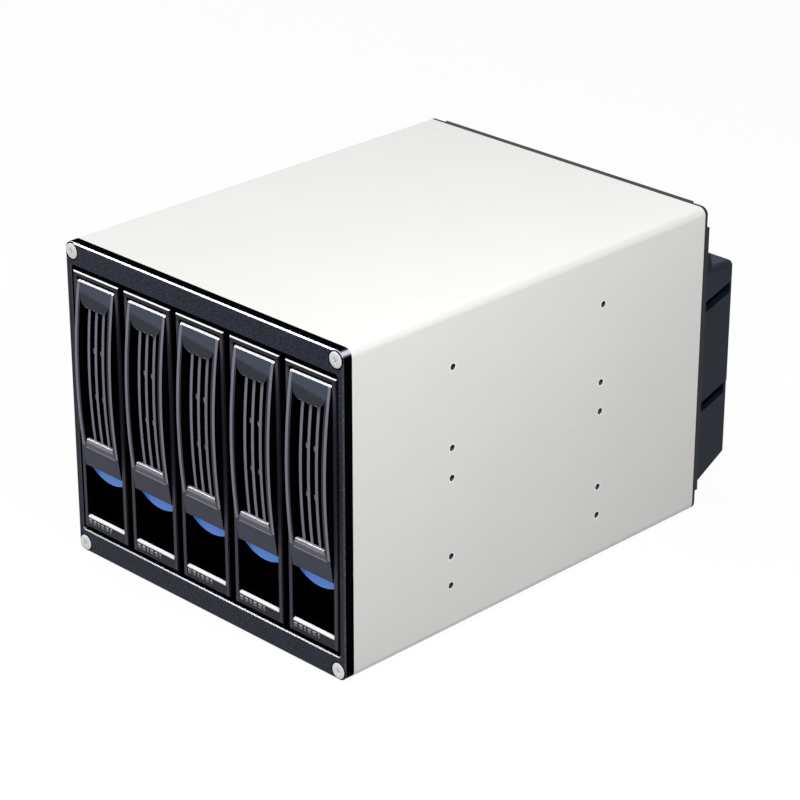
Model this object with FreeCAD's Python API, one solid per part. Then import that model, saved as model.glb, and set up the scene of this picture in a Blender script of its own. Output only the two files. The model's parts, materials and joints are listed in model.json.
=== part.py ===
import FreeCAD, Part
import math
import os

Vec = FreeCAD.Vector

# Hot swap drive cage: a square metal tube behind a black bezel, five drive trays
# that slide out of the front, and a hooded fan on the back.
# Frame: +X to the right seen from the front, +Y to the back, +Z up. The origin is on
# the underside, on the centre line, midway between the two columns of side holes.
# All sizes are millimetres.

# ---- Tube -------------------------------------------------------------------
case_w = 146.0
case_h = 127.0
case_wall = 1.5
case_corner_r = 3.2
hole_first = 49.0          # front edge of the tube to the first column of side holes
hole_pitch = 79.25         # between the two columns
hole_low = 18.76           # underside to the lowest hole
hole_pair = 11.84          # between the two holes that one bay uses
hole_high = 21.84          # top of the tube to the highest hole
bay_count = 3
side_hole_r = 1.25
screw_r = 1.5              # outside radius of every case screw
screw_head_r = 3.0
screw_inset = 3.6          # corner screws, from both edges
screw_len = 12.0
screw_fit = 0.05           # radial clearance of a screw in its own hole
port_wall = 1.2            # metal round the corner screw ports

# ---- Bezel ------------------------------------------------------------------
bezel_t = 4.3
bezel_side = 2.7           # the bezel's upright borders
bezel_band = 9.2           # its upper and lower borders
mouth_r = 1.0
bezel_edge = 0.5
mouth_edge = 0.4
head_cone_h = 1.6

# ---- Trays ------------------------------------------------------------------
tray_count = 5
tray_gap = 3.0             # between neighbouring tray fronts
tray_gap_side = 0.8        # from the outer ones to the bezel
tray_gap_low = 1.6
tray_gap_high = 1.9
front_depth = 13.0
front_setback = 0.2        # tray faces lie this far behind the bezel's face
frame_side = 2.05
frame_top = 1.8
sill_h = 5.4
back_wall = 2.0
front_edge = 0.4
sheet_t = 0.8              # tray sheet metal
drive_len = 147.0
drive_thick = 26.1
web_overhang = 0.2         # the sheet's web stands this far outside the moulded front
flange_short = 4.5         # the bent flanges are this much narrower than the front
runner_w = 4.0
runner_h = 1.2
runner_x = 3.0             # runner's centre, from the tray's centre
slide_gap = 0.3            # between a tray and the racks that guide it
drive_hole_r = 1.75
drive_hole_x = 6.35        # side holes of a drive, from its lower face
drive_holes_y = (28.5, 70.1, 130.1)
vent_rows = 5
vent_columns = 6
vent_len = 16.0
vent_h = 7.0

# ---- Lever, its pin and the release button ----------------------------------
lever_gap = 0.45           # to the frame at each side
lever_top_gap = 1.2
recess_h = 21.3            # finger recess, from the sill to the lever
lever_bow = 3.0
lever_skin = 1.6
lever_wall = 2.2
lever_depth = 6.0
grip_h = 10.4              # solid lower end
grip_depth = 2.8
ramp_h = 3.0
plate_h = 9.2              # closed upper end
plate_corner_r = 3.8       # its rounded lower corners
rib_w = 1.6
rib_count = 3
rib_recess = 1.5
rib_t = 1.6
tie_h = 1.8
tie_heights = (30.0, 48.5) # cross ties, above the lever's lower end
pin_r = 1.0
pin_fit = 0.03
pin_down = 2.0             # pin's centre below the lever's upper end
pin_back = 2.6             # and behind the tray's face
pin_cover = 0.7            # pin ends stop this far inside the front's sides
nose_r = 0.6
tongue_w = 4.0
tongue_t = 2.0
tongue_len = 5.2
tongue_up = 3.0
button_back = 3.3
button_t = 2.0
button_gap = 0.45
button_drop = 6.3          # its lowest point, below the lever
button_h = 14.5
button_arc_r = 17.0
button_travel = 2.5
stem_w = 6.0
stem_h = 6.0
stem_len = 3.6
guide_t = 1.6
guide_gap = 0.35
slot_play = 1.0            # tongue to the ends of its slot in the button

sill_bar_h = 1.4
sill_bar_d = 1.0
sill_bar_lip = 0.8
sill_bar_gap = 0.2

# ---- Racks that guide the trays ---------------------------------------------
rack_gap = 13.6            # from the racks' ends to the backplane
rack_floor = 1.8           # material under the runner grooves
rack_side_gap = 0.2
groove_gap = 0.35
leg_w = 2.4
fin_gap = 0.35
fin_w = 0.8
fin_h = 5.0

# ---- Backplane ----------------------------------------------------------------
board_t = 1.6
rear_room = 20.3           # behind the backplane, for its sockets and the fan
board_gap = 0.5
plug_len = 7.0
plug_w = 6.0
plug_h = 42.0
plug_gap = 0.4             # in front of the plugs, to a fitted drive
plug_side = 4.6            # plug's centre, from the sheet's web
plug_up = 34.2             # and from the tray's underside
tongue_slot_w = 2.2
tongue_slot_d = 5.0
board_vent_gap = 4.0       # from a plug to the slot beside it
board_vent_edge = 2.7
board_vent_end = 7.9
socket_down = 14.0         # sockets' centres, below the top of the tube
socket_space = 4.75
socket_edge = 2.5
data_socket_w = 12.5
data_socket_h = 6.0
power_socket_w = 24.0
power_socket_h = 7.0
socket_wall = 1.4
socket_tongue = 1.1
socket_play = 0.4
post_r = 2.6
post_low = 6.5             # lower posts, above the underside
post_high = 6.0            # upper posts, below the top
post_side = 31.5           # lower posts, from the tube's inside
post_bite = 6.0            # screw in a post

# ---- Rear plates, hood and fan -----------------------------------------------
plate_t = 1.4
cover_notch = 8.3
pan_head_r = 2.8
pan_head_h = 1.8
fan_room = 1.9             # mean gap above and below the fan, inside the hood
fan_lift = 1.3             # fan's centre, above the middle of the hood
fan_depth = 25.0
fan_rim = 2.0              # thinnest wall round the bore
fan_corner_r = 4.0
fan_hole_inset = 4.25
fan_hole_r = 2.2
fan_flange = 4.0
fan_waist = 2.6            # how far the frame is cut in between its flanges
fan_play = 0.5             # fan to the opening in the plates
fan_into_hood = 8.0
fan_bite = 8.0             # screw in the fan's flange
hub_r = 17.0
hub_gap = 1.5              # hub to the motor seat
hub_start = 1.5            # behind the frame's front
hub_edge = 1.5
blade_count = 7
blade_tip_gap = 1.0
blade_sink = 5.0           # root of a blade, inside the hub
blade_t = 1.4
blade_chord_root = 16.0
blade_chord_tip = 21.0
blade_pitch_root = 52.0
blade_pitch_tip = 30.0
shaft_r = 1.5
shaft_fit = 0.03
motor_r = 15.0
motor_t = 3.0
strut_w = 3.0
hood_inset = 1.0           # from the sides of the tube
hood_low = 9.4
hood_down = 26.0           # roof of the hood, below the top of the tube
hood_depth = 21.0
hood_wall = 2.0
hood_taper = 2.6           # each side leans in
hood_rise = 7.5            # the floor climbs towards the back
hood_fall = 2.5
hood_edge_r = 2.5          # roof's edges and the upright back edges
louvre_step = 0.5          # each panel under a louvre stands in by this
louvre_drops = (14.0, 56.8)  # lower edges of the louvres, below the hood's roof
louvre_climb = 3.8         # and they climb towards the back
hood_vent_h = 5.0          # open slot under each louvre
hood_vent_inset = 2.0      # from the cover plate and from the hood's back
lug_w = 12.0
lug_h = 6.0
lug_t = 2.5
lug_low_in = 8.0           # the lower lugs stand further in, clear of the corner screws
gusset_t = 1.6
gusset_reach = 4.5
grille_inset = 3.0         # smaller than the fan's bore
grille_rings = 3
grille_bar = 2.4
grille_t = 2.0
grille_flange = 2.0
grille_fit = 0.2
grille_hub_r = 9.0
screw_post_r = 3.6

# ---- Places worked out from the sizes above ----------------------------------
case_front = -(hole_first + hole_pitch / 2)
inner_half_w = case_w / 2 - case_wall
inner_top = case_h - case_wall
mouth_w = case_w - 2 * bezel_side
mouth_h = case_h - 2 * bezel_band
bezel_face = case_front - bezel_t
tray_face = bezel_face + front_setback
front_w = (mouth_w - 2 * tray_gap_side - (tray_count - 1) * tray_gap) / tray_count
tray_pitch = front_w + tray_gap
front_low = bezel_band + tray_gap_low
front_high = case_h - bezel_band - tray_gap_high
front_h = front_high - front_low
front_back = tray_face + front_depth
cavity_half_w = front_w / 2 - frame_side
cavity_top = front_high - frame_top
cavity_low = front_low + sill_h
cavity_back = front_back - back_wall
drive_front = front_back + slide_gap
drive_back = drive_front + drive_len
web_left = -front_w / 2 - web_overhang
plug_x = web_left + sheet_t + plug_side
plug_z = front_low + plug_up
board_front = drive_back + plug_gap + plug_len
board_back = board_front + board_t
rack_len = board_front - rack_gap - case_front
case_back = board_back + rear_room
case_len = case_back - case_front
plate_back = case_back + plate_t
cover_back = plate_back + plate_t
hood_back = cover_back + hood_depth
fan_back = cover_back + fan_into_hood
fan_front = fan_back - fan_depth
hood_half_w = case_w / 2 - hood_inset
hood_high = case_h - hood_down
hood_share = fan_into_hood / hood_depth
fan_floor = hood_low + hood_wall + hood_rise * hood_share
fan_roof = hood_high - hood_wall - hood_fall * hood_share
fan_z = (fan_floor + fan_roof) / 2 + fan_lift
hub_len = fan_depth - hub_start - hub_gap - motor_t
fan_size = fan_roof - fan_floor - 2 * fan_room
fan_bore_r = fan_size / 2 - fan_rim
grille_r = fan_bore_r - grille_inset
socket_z = case_h - socket_down
power_socket_x = inner_half_w - socket_edge - power_socket_w / 2
data_reach = power_socket_x - power_socket_w / 2 - socket_space
data_socket_pitch = (2 * data_reach - data_socket_w) / (tray_count - 1)
upper_post_x = data_reach + socket_space / 2
lever_high = cavity_top - lever_top_gap
lever_low = cavity_low + recess_h
lever_len = lever_high - lever_low
lever_half_w = cavity_half_w - lever_gap
pin_y = tray_face + pin_back
pin_z = lever_high - pin_down
bay_pitch = (case_h - hole_low - hole_high) / (bay_count - 1)
hole_heights = sorted(
    [hole_low + bay * bay_pitch for bay in range(bay_count)]
    + [hole_low + hole_pair + bay * bay_pitch for bay in range(bay_count - 1)]
)
corner_spots = [
    (side * (case_w / 2 - screw_inset), height)
    for side in (-1, 1)
    for height in (screw_inset, case_h - screw_inset)
]
post_spots = [
    (side * x, height) for side in (-1, 1)
    for x, height in ((inner_half_w - post_side, post_low), (upper_post_x, case_h - post_high))
]
tray_centres = [(place - (tray_count - 1) / 2) * tray_pitch for place in range(tray_count)]


# ---- Shape helpers -------------------------------------------------------------
def block(x0, x1, y0, y1, z0, z1):
    """A box between two corners."""
    return Part.makeBox(x1 - x0, y1 - y0, z1 - z0, Vec(x0, y0, z0))


def rod(centre, direction, radius, length):
    """A cylinder that starts at centre and runs along direction."""
    return Part.makeCylinder(radius, length, Vec(*centre), Vec(*direction))


def prism(corners, push):
    """A closed outline of 3-D corners pushed along a vector."""
    points = [Vec(*corner) for corner in corners]
    return Part.Face(Part.makePolygon(points + points[:1])).extrude(Vec(*push))


def prism_y(corners, y0, y1):
    """An outline of (x, z) corners, solid from y0 to y1."""
    return prism([(x, y0, z) for x, z in corners], (0, y1 - y0, 0))


def prism_x(corners, x0, x1):
    """An outline of (y, z) corners, solid from x0 to x1."""
    return prism([(x0, y, z) for y, z in corners], (x1 - x0, 0, 0))


def along_y(solid):
    """The edges of a solid that run parallel to Y."""
    return [edge for edge in solid.Edges
            if edge.Curve.TypeId == "Part::GeomLine" and abs(edge.tangentAt(edge.FirstParameter).y) > 0.99]


def slab(half_w, z0, z1, y0, y1, radius):
    """A plate in the XZ plane with rounded corners."""
    plain = block(-half_w, half_w, y0, y1, z0, z1)
    return plain.makeFillet(radius, along_y(plain))


def edges_at(solid, y, keep):
    """The edges that lie wholly in the plane Y = y and that keep accepts."""
    chosen = []
    for edge in solid.Edges:
        bounds = edge.BoundBox
        if abs(bounds.YMin - y) < 1e-4 and abs(bounds.YMax - y) < 1e-4 and keep(edge):
            chosen.append(edge)
    return chosen


def cut_all(solid, tools):
    """A solid less several tools at once."""
    return solid.cut(Part.makeCompound(tools))


def join(solids):
    """One solid made of touching or overlapping ones."""
    first, rest = solids[0], solids[1:]
    return first.fuse(rest).removeSplitter()


def countersunk_screw(x, z, y, length):
    """A flat-headed screw whose head is level with the plane Y = y and that points back."""
    head = Part.makeCone(screw_head_r, screw_r, head_cone_h, Vec(x, y, z), Vec(0, 1, 0))
    shank = rod((x, y + head_cone_h, z), (0, 1, 0), screw_r, length - head_cone_h)
    return head.fuse(shank).removeSplitter()


def pan_screw(x, z, y, length, toward):
    """A round-headed screw seated on the plane Y = y; toward is the sign of its point's side."""
    head = rod((x, y, z), (0, -toward, 0), pan_head_r, pan_head_h)
    shank = rod((x, y, z), (0, toward, 0), screw_r, length)
    return head.fuse(shank).removeSplitter()


def save(node, *solids):
    """Write one node; identical fasteners share a node as a group of solids."""
    shape = solids[0] if len(solids) == 1 else Part.makeCompound(list(solids))
    shape.exportStep(os.path.join("parts", node + ".step"))
    print("%-22s %2d solids  %10.1f mm3" % (node, len(shape.Solids), shape.Volume))


# ---- Tube and bezel ------------------------------------------------------------
def make_case_shell():
    """The extruded tube, with screw ports in its corners and tapped side holes."""
    outer = slab(case_w / 2, 0, case_h, case_front, case_back, case_corner_r)
    inner_r = max(case_corner_r - case_wall, case_wall)
    hollow = slab(inner_half_w, case_wall, inner_top, case_front, case_back, inner_r)
    port_r = screw_r + port_wall
    ports = [rod((x, case_front, z), (0, 1, 0), port_r, case_len).common(outer)
             for x, z in corner_spots]
    shell = join([outer.cut(hollow)] + ports)
    bores = [rod((x, case_front, z), (0, 1, 0), screw_r + screw_fit, case_len)
             for x, z in corner_spots]
    for column in (-1, 1):
        for height in hole_heights:
            start = (-case_w / 2, column * hole_pitch / 2, height)
            bores.append(rod(start, (1, 0, 0), side_hole_r, case_w))
    return cut_all(shell, bores)


def make_front_bezel():
    """The bezel plate: rounded outline, broken edges and countersunk corners."""
    plate = slab(case_w / 2, 0, case_h, bezel_face, case_front, case_corner_r)
    plate = plate.makeChamfer(bezel_edge, edges_at(plate, bezel_face, lambda edge: True))
    middle = case_h / 2
    mouth = slab(mouth_w / 2, middle - mouth_h / 2, middle + mouth_h / 2,
                 bezel_face, case_front, mouth_r)
    flare = slab(mouth_w / 2 + mouth_edge, middle - mouth_h / 2 - mouth_edge,
                 middle + mouth_h / 2 + mouth_edge, bezel_face, bezel_face + mouth_edge,
                 mouth_r + mouth_edge)
    flare = flare.makeChamfer(mouth_edge * 0.98,
                              edges_at(flare, bezel_face + mouth_edge, lambda edge: True))
    bores = []
    for x, z in corner_spots:
        cone_r = screw_head_r + screw_fit
        bores.append(Part.makeCone(cone_r, screw_r + screw_fit, head_cone_h,
                                   Vec(x, bezel_face, z), Vec(0, 1, 0)))
        bores.append(rod((x, bezel_face, z), (0, 1, 0), screw_r + screw_fit, bezel_t))
    return cut_all(plate, [mouth, flare] + bores)


def make_bezel_screws():
    return [countersunk_screw(x, z, bezel_face, screw_len) for x, z in corner_spots]


# ---- Racks ----------------------------------------------------------------------
def rack_outline(face, up):
    """Comb outline of a rack; up is +1 for the upper rack and -1 for the lower one."""
    outer_half_w = inner_half_w - rack_side_gap
    groove_half = runner_w / 2 + groove_gap
    groove_end = face + up * runner_h
    shelf = groove_end + up * rack_floor
    wall_face = inner_top if up > 0 else case_wall
    fin_end = face - up * fin_h
    outline = [(-outer_half_w, face)]
    for index, centre in enumerate(tray_centres):
        left = centre + runner_x - groove_half
        right = centre + runner_x + groove_half
        outline += [(left, face), (left, groove_end), (right, groove_end), (right, face)]
        if index < tray_count - 1:
            fin = fin_centre(centre)
            outline += [(fin - fin_w / 2, face), (fin - fin_w / 2, fin_end),
                        (fin + fin_w / 2, fin_end), (fin + fin_w / 2, face)]
    outline += [(outer_half_w, face), (outer_half_w, shelf)]
    for centre in reversed(leg_centres()):
        outline += [(centre + leg_w / 2, shelf), (centre + leg_w / 2, wall_face),
                    (centre - leg_w / 2, wall_face), (centre - leg_w / 2, shelf)]
    outline.append((-outer_half_w, shelf))
    return outline


def fin_centre(centre):
    """Middle of the fin that stands beside the next tray's sheet."""
    return centre + tray_pitch + web_left - fin_gap - fin_w / 2


def leg_centres():
    """The legs that hold a rack off the tube: one under each fin and one at each end."""
    end_leg = case_w / 2 - screw_inset - screw_r - port_wall - leg_w
    fins = [fin_centre(centre) for centre in tray_centres[:-1]]
    return [-end_leg] + fins + [end_leg]


def make_rack(up):
    face = front_high + slide_gap if up > 0 else front_low - slide_gap
    return prism_y(rack_outline(face, up), case_front, case_front + rack_len)


# ---- Trays ------------------------------------------------------------------------
def lever_front(height, inset=0.0):
    """Y of the lever's bowed face at a height, moved back by inset."""
    half = lever_len / 2
    radius = (half * half + lever_bow * lever_bow) / (2 * lever_bow)
    middle = lever_low + half
    reach = math.sqrt(radius * radius - (height - middle) ** 2)
    return tray_face + (radius - lever_bow) - reach + inset


def bowed_strip(x0, x1, low, high, inset, thickness):
    """A strip of the lever that follows its bow."""
    middle = (low + high) / 2
    def at(height, extra):
        return Vec(x0, lever_front(height, inset) + extra, height)
    outside = Part.Arc(at(low, 0), at(middle, 0), at(high, 0)).toShape()
    inside = Part.Arc(at(high, thickness), at(middle, thickness), at(low, thickness)).toShape()
    upper = Part.makeLine(at(high, 0), at(high, thickness))
    lower = Part.makeLine(at(low, thickness), at(low, 0))
    face = Part.Face(Part.Wire([outside, upper, inside, lower]))
    return face.extrude(Vec(x1 - x0, 0, 0))


def make_tray_front(centre):
    """The moulded frame at the front of a tray, with the lever's cavity and the button's guide."""
    body = block(-front_w / 2, front_w / 2, tray_face, front_back, front_low, front_high)
    body = body.makeChamfer(front_edge, edges_at(body, tray_face, lambda edge: True))
    cavity = block(-cavity_half_w, cavity_half_w, tray_face, cavity_back, cavity_low, cavity_top)
    seat = block(-cavity_half_w, cavity_half_w, tray_face, tray_face + sill_bar_d + sill_bar_gap,
                 cavity_low - sill_bar_h + sill_bar_gap, cavity_low)
    bore = rod((-front_w / 2 + pin_cover, pin_y, pin_z), (1, 0, 0), pin_r + pin_fit,
               front_w - 2 * pin_cover)
    pitch = (2 * cavity_half_w - 2 * lever_wall) / (rib_count + 1)
    vents = []
    for index in range(rib_count + 1):
        left = -cavity_half_w + lever_wall + index * pitch + rib_w / 2
        vents.append(block(left, left + pitch - rib_w, cavity_back, front_back,
                           lever_low + grip_h + ramp_h + stem_h * 2, lever_high - plate_h))
    body = cut_all(body, [cavity, seat, bore] + vents)
    return place(join([body] + button_guide()), centre)


def button_guide():
    """Two rails and a stop on the cavity's back wall, round the button's stem."""
    low = stem_low()
    high = low + stem_h + button_travel + 2 * guide_gap
    near = tray_face + button_back + button_t + guide_gap
    inner = stem_w / 2 + guide_gap
    rails = [block(side * inner if side > 0 else -inner - guide_t,
                   inner + guide_t if side > 0 else -inner,
                   near, cavity_back, low, high + guide_t) for side in (-1, 1)]
    stop = block(-inner - guide_t, inner + guide_t, near, cavity_back, high, high + guide_t)
    return [join(rails + [stop])]


def stem_low():
    """Lower end of the button's stem: above the lever's tongue and its slot."""
    return lever_low + tongue_up + tongue_t + slot_play + button_travel


def make_sill_bar(centre):
    """The bright strip along the lower edge of the finger recess, sloped towards the hand."""
    top = cavity_low
    low = cavity_low - sill_bar_h + sill_bar_gap
    outline = [(tray_face, low), (tray_face, low + sill_bar_lip), (tray_face + sill_bar_d, top),
               (tray_face + sill_bar_d, low)]
    reach = cavity_half_w - sill_bar_gap
    return place(prism_x(outline, -reach, reach), centre)


def make_tray_carrier(centre):
    """The sheet metal sled: a slotted web with two bent flanges, runners and a front tab."""
    left, right = web_left, web_left + sheet_t
    reach = left + front_w - flange_short
    web = block(left, right, front_back, drive_back, front_low, front_high)
    floor = block(left, reach, front_back, drive_back, front_low, front_low + sheet_t)
    roof = block(left, reach, front_back, drive_back, front_high - sheet_t, front_high)
    runner_left = runner_x - runner_w / 2
    runners = [
        block(runner_left, runner_left + runner_w, front_back, drive_back,
              front_low - runner_h, front_low),
        block(runner_left, runner_left + runner_w, front_back, drive_back,
              front_high, front_high + runner_h),
    ]
    sled = join([web, floor, roof] + runners)
    tools = []
    hole_x = right + drive_hole_x
    for along in drive_holes_y:
        tools.append(rod((hole_x, drive_back - along, front_low - runner_h), (0, 0, 1),
                         drive_hole_r, front_h + 2 * runner_h))
    column_pitch = drive_len / vent_columns
    row_pitch = front_h / vent_rows
    for column in range(vent_columns):
        for row in range(vent_rows):
            y = drive_front + (column + 0.5) * column_pitch
            z = front_low + (row + 0.5) * row_pitch
            tools.append(block(left, right, y - vent_len / 2, y + vent_len / 2,
                               z - vent_h / 2, z + vent_h / 2))
    return place(cut_all(sled, tools), centre)


def make_lever(centre):
    """The bowed lever: grip, ribbed window, rounded top plate, side walls and latch tongue."""
    half_w = lever_half_w
    skin = bowed_strip(-half_w, half_w, lever_low, lever_high, 0, lever_skin)
    window_half = half_w - lever_wall
    window_low = lever_low + grip_h
    window_high = lever_high - plate_h
    far = tray_face + lever_depth
    near = tray_face - lever_bow - 1
    window_top = window_high + plate_corner_r
    window = block(-window_half, window_half, near, far, window_low, window_top)
    plate = block(-window_half, window_half, near, far, window_high, window_top + plate_corner_r)
    lower_corners = [edge for edge in along_y(plate) if edge.BoundBox.ZMax < window_top]
    window = window.cut(plate.makeFillet(plate_corner_r, lower_corners))
    skin = skin.cut(window)

    wall_low = lever_low + grip_h
    wall_high = lever_high - plate_h
    taper = lever_depth
    walls = []
    for side in (-1, 1):
        x0 = side * half_w if side < 0 else half_w - lever_wall
        outline = [(lever_front(wall_low) + lever_skin / 2, wall_low),
                   (tray_face + grip_depth, wall_low),
                   (far, wall_low + 2 * taper), (far, wall_high - taper),
                   (tray_face + pin_back, wall_high + plate_h / 2),
                   (lever_front(wall_high) + lever_skin / 2, wall_high + plate_h / 2)]
        middle = (wall_low + wall_high) / 2
        outline += [(lever_front(wall_high) + lever_skin / 2, wall_high),
                    (lever_front(middle) + lever_skin / 2, middle)]
        walls.append(prism_x(outline, x0, x0 + lever_wall))

    grip_face = lever_front(lever_low + grip_h) + lever_skin / 2
    grip = prism_x([(lever_front(lever_low) + 0.2, lever_low), (tray_face + grip_depth, lever_low),
                    (tray_face + grip_depth, window_low + ramp_h), (grip_face, window_low)],
                   -half_w, half_w)
    head = prism_x([(lever_front(lever_high - plate_h / 2) + lever_skin / 2, lever_high - plate_h / 2),
                    (tray_face + pin_back + pin_down, lever_high - plate_h / 2),
                    (tray_face + pin_back + pin_down, lever_high - 1), (tray_face + pin_back, lever_high),
                    (tray_face + nose_r, lever_high)], -half_w, half_w)
    pitch = 2 * window_half / (rib_count + 1)
    ribs = []
    for index in range(rib_count):
        middle_x = -window_half + (index + 1) * pitch
        ribs.append(bowed_strip(middle_x - rib_w / 2, middle_x + rib_w / 2,
                                window_low, window_top, rib_recess, rib_t))
    for height in tie_heights:
        z = lever_low + height
        y = lever_front(z, rib_recess + rib_t / 2)
        ribs.append(block(-pitch, pitch, y, y + rib_t, z, z + tie_h))
    tongue_low = lever_low + tongue_up
    tongue = block(-tongue_w / 2, tongue_w / 2, tray_face + grip_depth - 0.5,
                   tray_face + grip_depth + tongue_len, tongue_low, tongue_low + tongue_t)
    lever = join([skin, grip, head, tongue] + walls + ribs)
    bore = rod((-half_w, pin_y, pin_z), (1, 0, 0), pin_r + pin_fit, 2 * half_w)
    corner = prism_x([(tray_face - 1, lever_high + 1), (tray_face - 1, lever_high - nose_r),
                      (tray_face + 0.0, lever_high - nose_r), (tray_face + nose_r, lever_high),
                      (tray_face + nose_r, lever_high + 1)], -half_w, half_w)
    return place(cut_all(lever, [bore, corner]), centre)


def make_lever_pin(centre):
    """The steel pin that the lever turns on."""
    half = front_w / 2 - pin_cover
    return place(rod((-half, pin_y, pin_z), (1, 0, 0), pin_r, 2 * half), centre)


def make_release_button(centre):
    """The release tab: a plate with a round lower edge, a slot for the tongue and a stem."""
    half_w = cavity_half_w - button_gap
    low = lever_low - button_drop
    near = tray_face + button_back
    sag = button_arc_r - math.sqrt(button_arc_r ** 2 - half_w ** 2)
    def at(x, z):
        return Vec(x, near, z)
    edge = Part.Arc(at(-half_w, low + sag), at(0, low), at(half_w, low + sag)).toShape()
    sides = Part.makePolygon([at(half_w, low + sag), at(half_w, low + button_h),
                              at(-half_w, low + button_h), at(-half_w, low + sag)])
    plate = Part.Face(Part.Wire([edge] + sides.Edges)).extrude(Vec(0, button_t, 0))
    slot_low = lever_low + tongue_up - slot_play - button_travel
    slot_high = lever_low + tongue_up + tongue_t + slot_play
    slot = block(-tongue_w / 2 - slot_play, tongue_w / 2 + slot_play, near, near + button_t,
                 slot_low, slot_high)
    stem_base = stem_low()
    neck = block(-stem_w / 2, stem_w / 2, near, near + button_t, low + button_h / 2,
                 stem_base + stem_h)
    stem = block(-stem_w / 2, stem_w / 2, near + button_t / 2, near + button_t + stem_len,
                 stem_base + guide_gap, stem_base + stem_h)
    return place(join([plate, neck]).cut(slot).fuse(stem).removeSplitter(), centre)


def place(solid, centre):
    """A tray piece moved from the middle of the cage to its own bay."""
    return solid.translated(Vec(centre, 0, 0))


# ---- Backplane ----------------------------------------------------------------------
def data_socket_spots():
    return [(index - (tray_count - 1) / 2) * data_socket_pitch for index in range(tray_count)]


def make_backplane():
    """The circuit board across the back of the tube, notched round the screw ports."""
    half_w = inner_half_w - board_gap
    low = case_wall + board_gap
    high = inner_top - board_gap
    board = block(-half_w, half_w, board_front, board_back, low, high)
    notch = screw_inset + screw_r + port_wall + board_gap
    tools = []
    for side in (-1, 1):
        inner = case_w / 2 - notch
        x0 = min(side * inner, side * case_w / 2)
        x1 = max(side * inner, side * case_w / 2)
        tools.append(block(x0, x1, board_front, board_back, 0, notch))
        tools.append(block(x0, x1, board_front, board_back, case_h - notch, case_h))
    for centre in tray_centres:
        left = centre + plug_x + plug_w / 2 + board_vent_gap
        right = centre + tray_pitch / 2 - board_vent_edge
        tools.append(block(left, right, board_front, board_back,
                           front_low + board_vent_end, front_high - board_vent_end))
    for x, z in post_spots:
        tools.append(rod((x, board_front, z), (0, 1, 0), screw_r + screw_fit, board_t))
    return cut_all(board, tools)


def make_drive_plugs():
    """One slotted plug for each bay, on the front of the board."""
    plugs = []
    for centre in tray_centres:
        x = centre + plug_x
        body = block(x - plug_w / 2, x + plug_w / 2, board_front - plug_len, board_front,
                     plug_z - plug_h / 2, plug_z + plug_h / 2)
        slot = block(x - tongue_slot_w / 2, x + tongue_slot_w / 2, board_front - plug_len,
                     board_front - plug_len + tongue_slot_d,
                     plug_z - plug_h / 2 + socket_wall, plug_z + plug_h / 2 - socket_wall)
        plugs.append(body.cut(slot))
    return plugs


def make_socket(x, width, height):
    """A rear socket from the board through both plates: a shroud round a flat contact tongue."""
    low, high = socket_z - height / 2, socket_z + height / 2
    body = block(x - width / 2, x + width / 2, board_back, cover_back, low, high)
    hollow = block(x - width / 2 + socket_wall, x + width / 2 - socket_wall,
                   cover_back - tongue_slot_d, cover_back, low + socket_wall, high - socket_wall)
    tongue = block(x - width / 2 + 2 * socket_wall, x + width / 2 - 2 * socket_wall,
                   cover_back - tongue_slot_d, cover_back - socket_wall / 2,
                   low + socket_wall, low + socket_wall + socket_tongue)
    return join([body.cut(hollow), tongue])


def make_posts():
    """Threaded spacers between the board and the rear plate."""
    length = case_back - board_back
    spacers = []
    for x, z in post_spots:
        spacer = rod((x, board_back, z), (0, 1, 0), post_r, length)
        spacers.append(spacer.cut(rod((x, board_back, z), (0, 1, 0), screw_r + screw_fit, length)))
    return spacers


def make_board_screws():
    return [pan_screw(x, z, board_front, board_t + post_bite, 1) for x, z in post_spots]


# ---- Rear plates ---------------------------------------------------------------------
def rear_cutouts(y0, y1):
    """What passes through both rear plates: the fan and the sockets."""
    half = fan_size / 2 + fan_play
    tools = [block(-half, half, y0, y1, fan_z - half, fan_z + half)]
    for x in data_socket_spots():
        tools.append(socket_cutout(x, data_socket_w, data_socket_h, y0, y1))
    for side in (-1, 1):
        tools.append(socket_cutout(side * power_socket_x, power_socket_w, power_socket_h, y0, y1))
    return tools


def socket_cutout(x, width, height, y0, y1):
    half_w = width / 2 + socket_play
    half_h = height / 2 + socket_play
    return block(x - half_w, x + half_w, y0, y1, socket_z - half_h, socket_z + half_h)


def lug_spots():
    """Screw centres of the hood's four lugs."""
    reach = hood_half_w - lug_w / 2
    return [(side * x, height) for side in (-1, 1)
            for x, height in ((reach - lug_low_in, hood_low - lug_h / 2),
                              (reach, hood_high + lug_h / 2))]


def make_rear_plate():
    """The plate that closes the tube, level with its outside."""
    plate = slab(case_w / 2, 0, case_h, case_back, plate_back, case_corner_r)
    bores = [rod((x, case_back, z), (0, 1, 0), screw_r + screw_fit, plate_t)
             for x, z in corner_spots + post_spots + lug_spots()]
    return cut_all(plate, rear_cutouts(case_back, plate_back) + bores)


def make_rear_cover():
    """The second plate, notched at the corners for the heads of the corner screws."""
    inner = case_w / 2 - cover_notch
    half_w = case_w / 2
    top = case_h - cover_notch
    outline = [(-inner, 0), (inner, 0), (inner, cover_notch), (half_w, cover_notch),
               (half_w, top), (inner, top), (inner, case_h), (-inner, case_h),
               (-inner, top), (-half_w, top), (-half_w, cover_notch), (-inner, cover_notch)]
    plate = prism_y(outline, plate_back, cover_back)
    bores = [rod((x, plate_back, z), (0, 1, 0), screw_r + screw_fit, plate_t)
             for x, z in post_spots + lug_spots()]
    return cut_all(plate, rear_cutouts(plate_back, cover_back) + bores)


def make_rear_screws():
    return [pan_screw(x, z, plate_back, screw_len, -1) for x, z in corner_spots]


def make_cover_screws():
    return [pan_screw(x, z, cover_back, 2 * plate_t + post_bite, -1) for x, z in post_spots]


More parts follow.
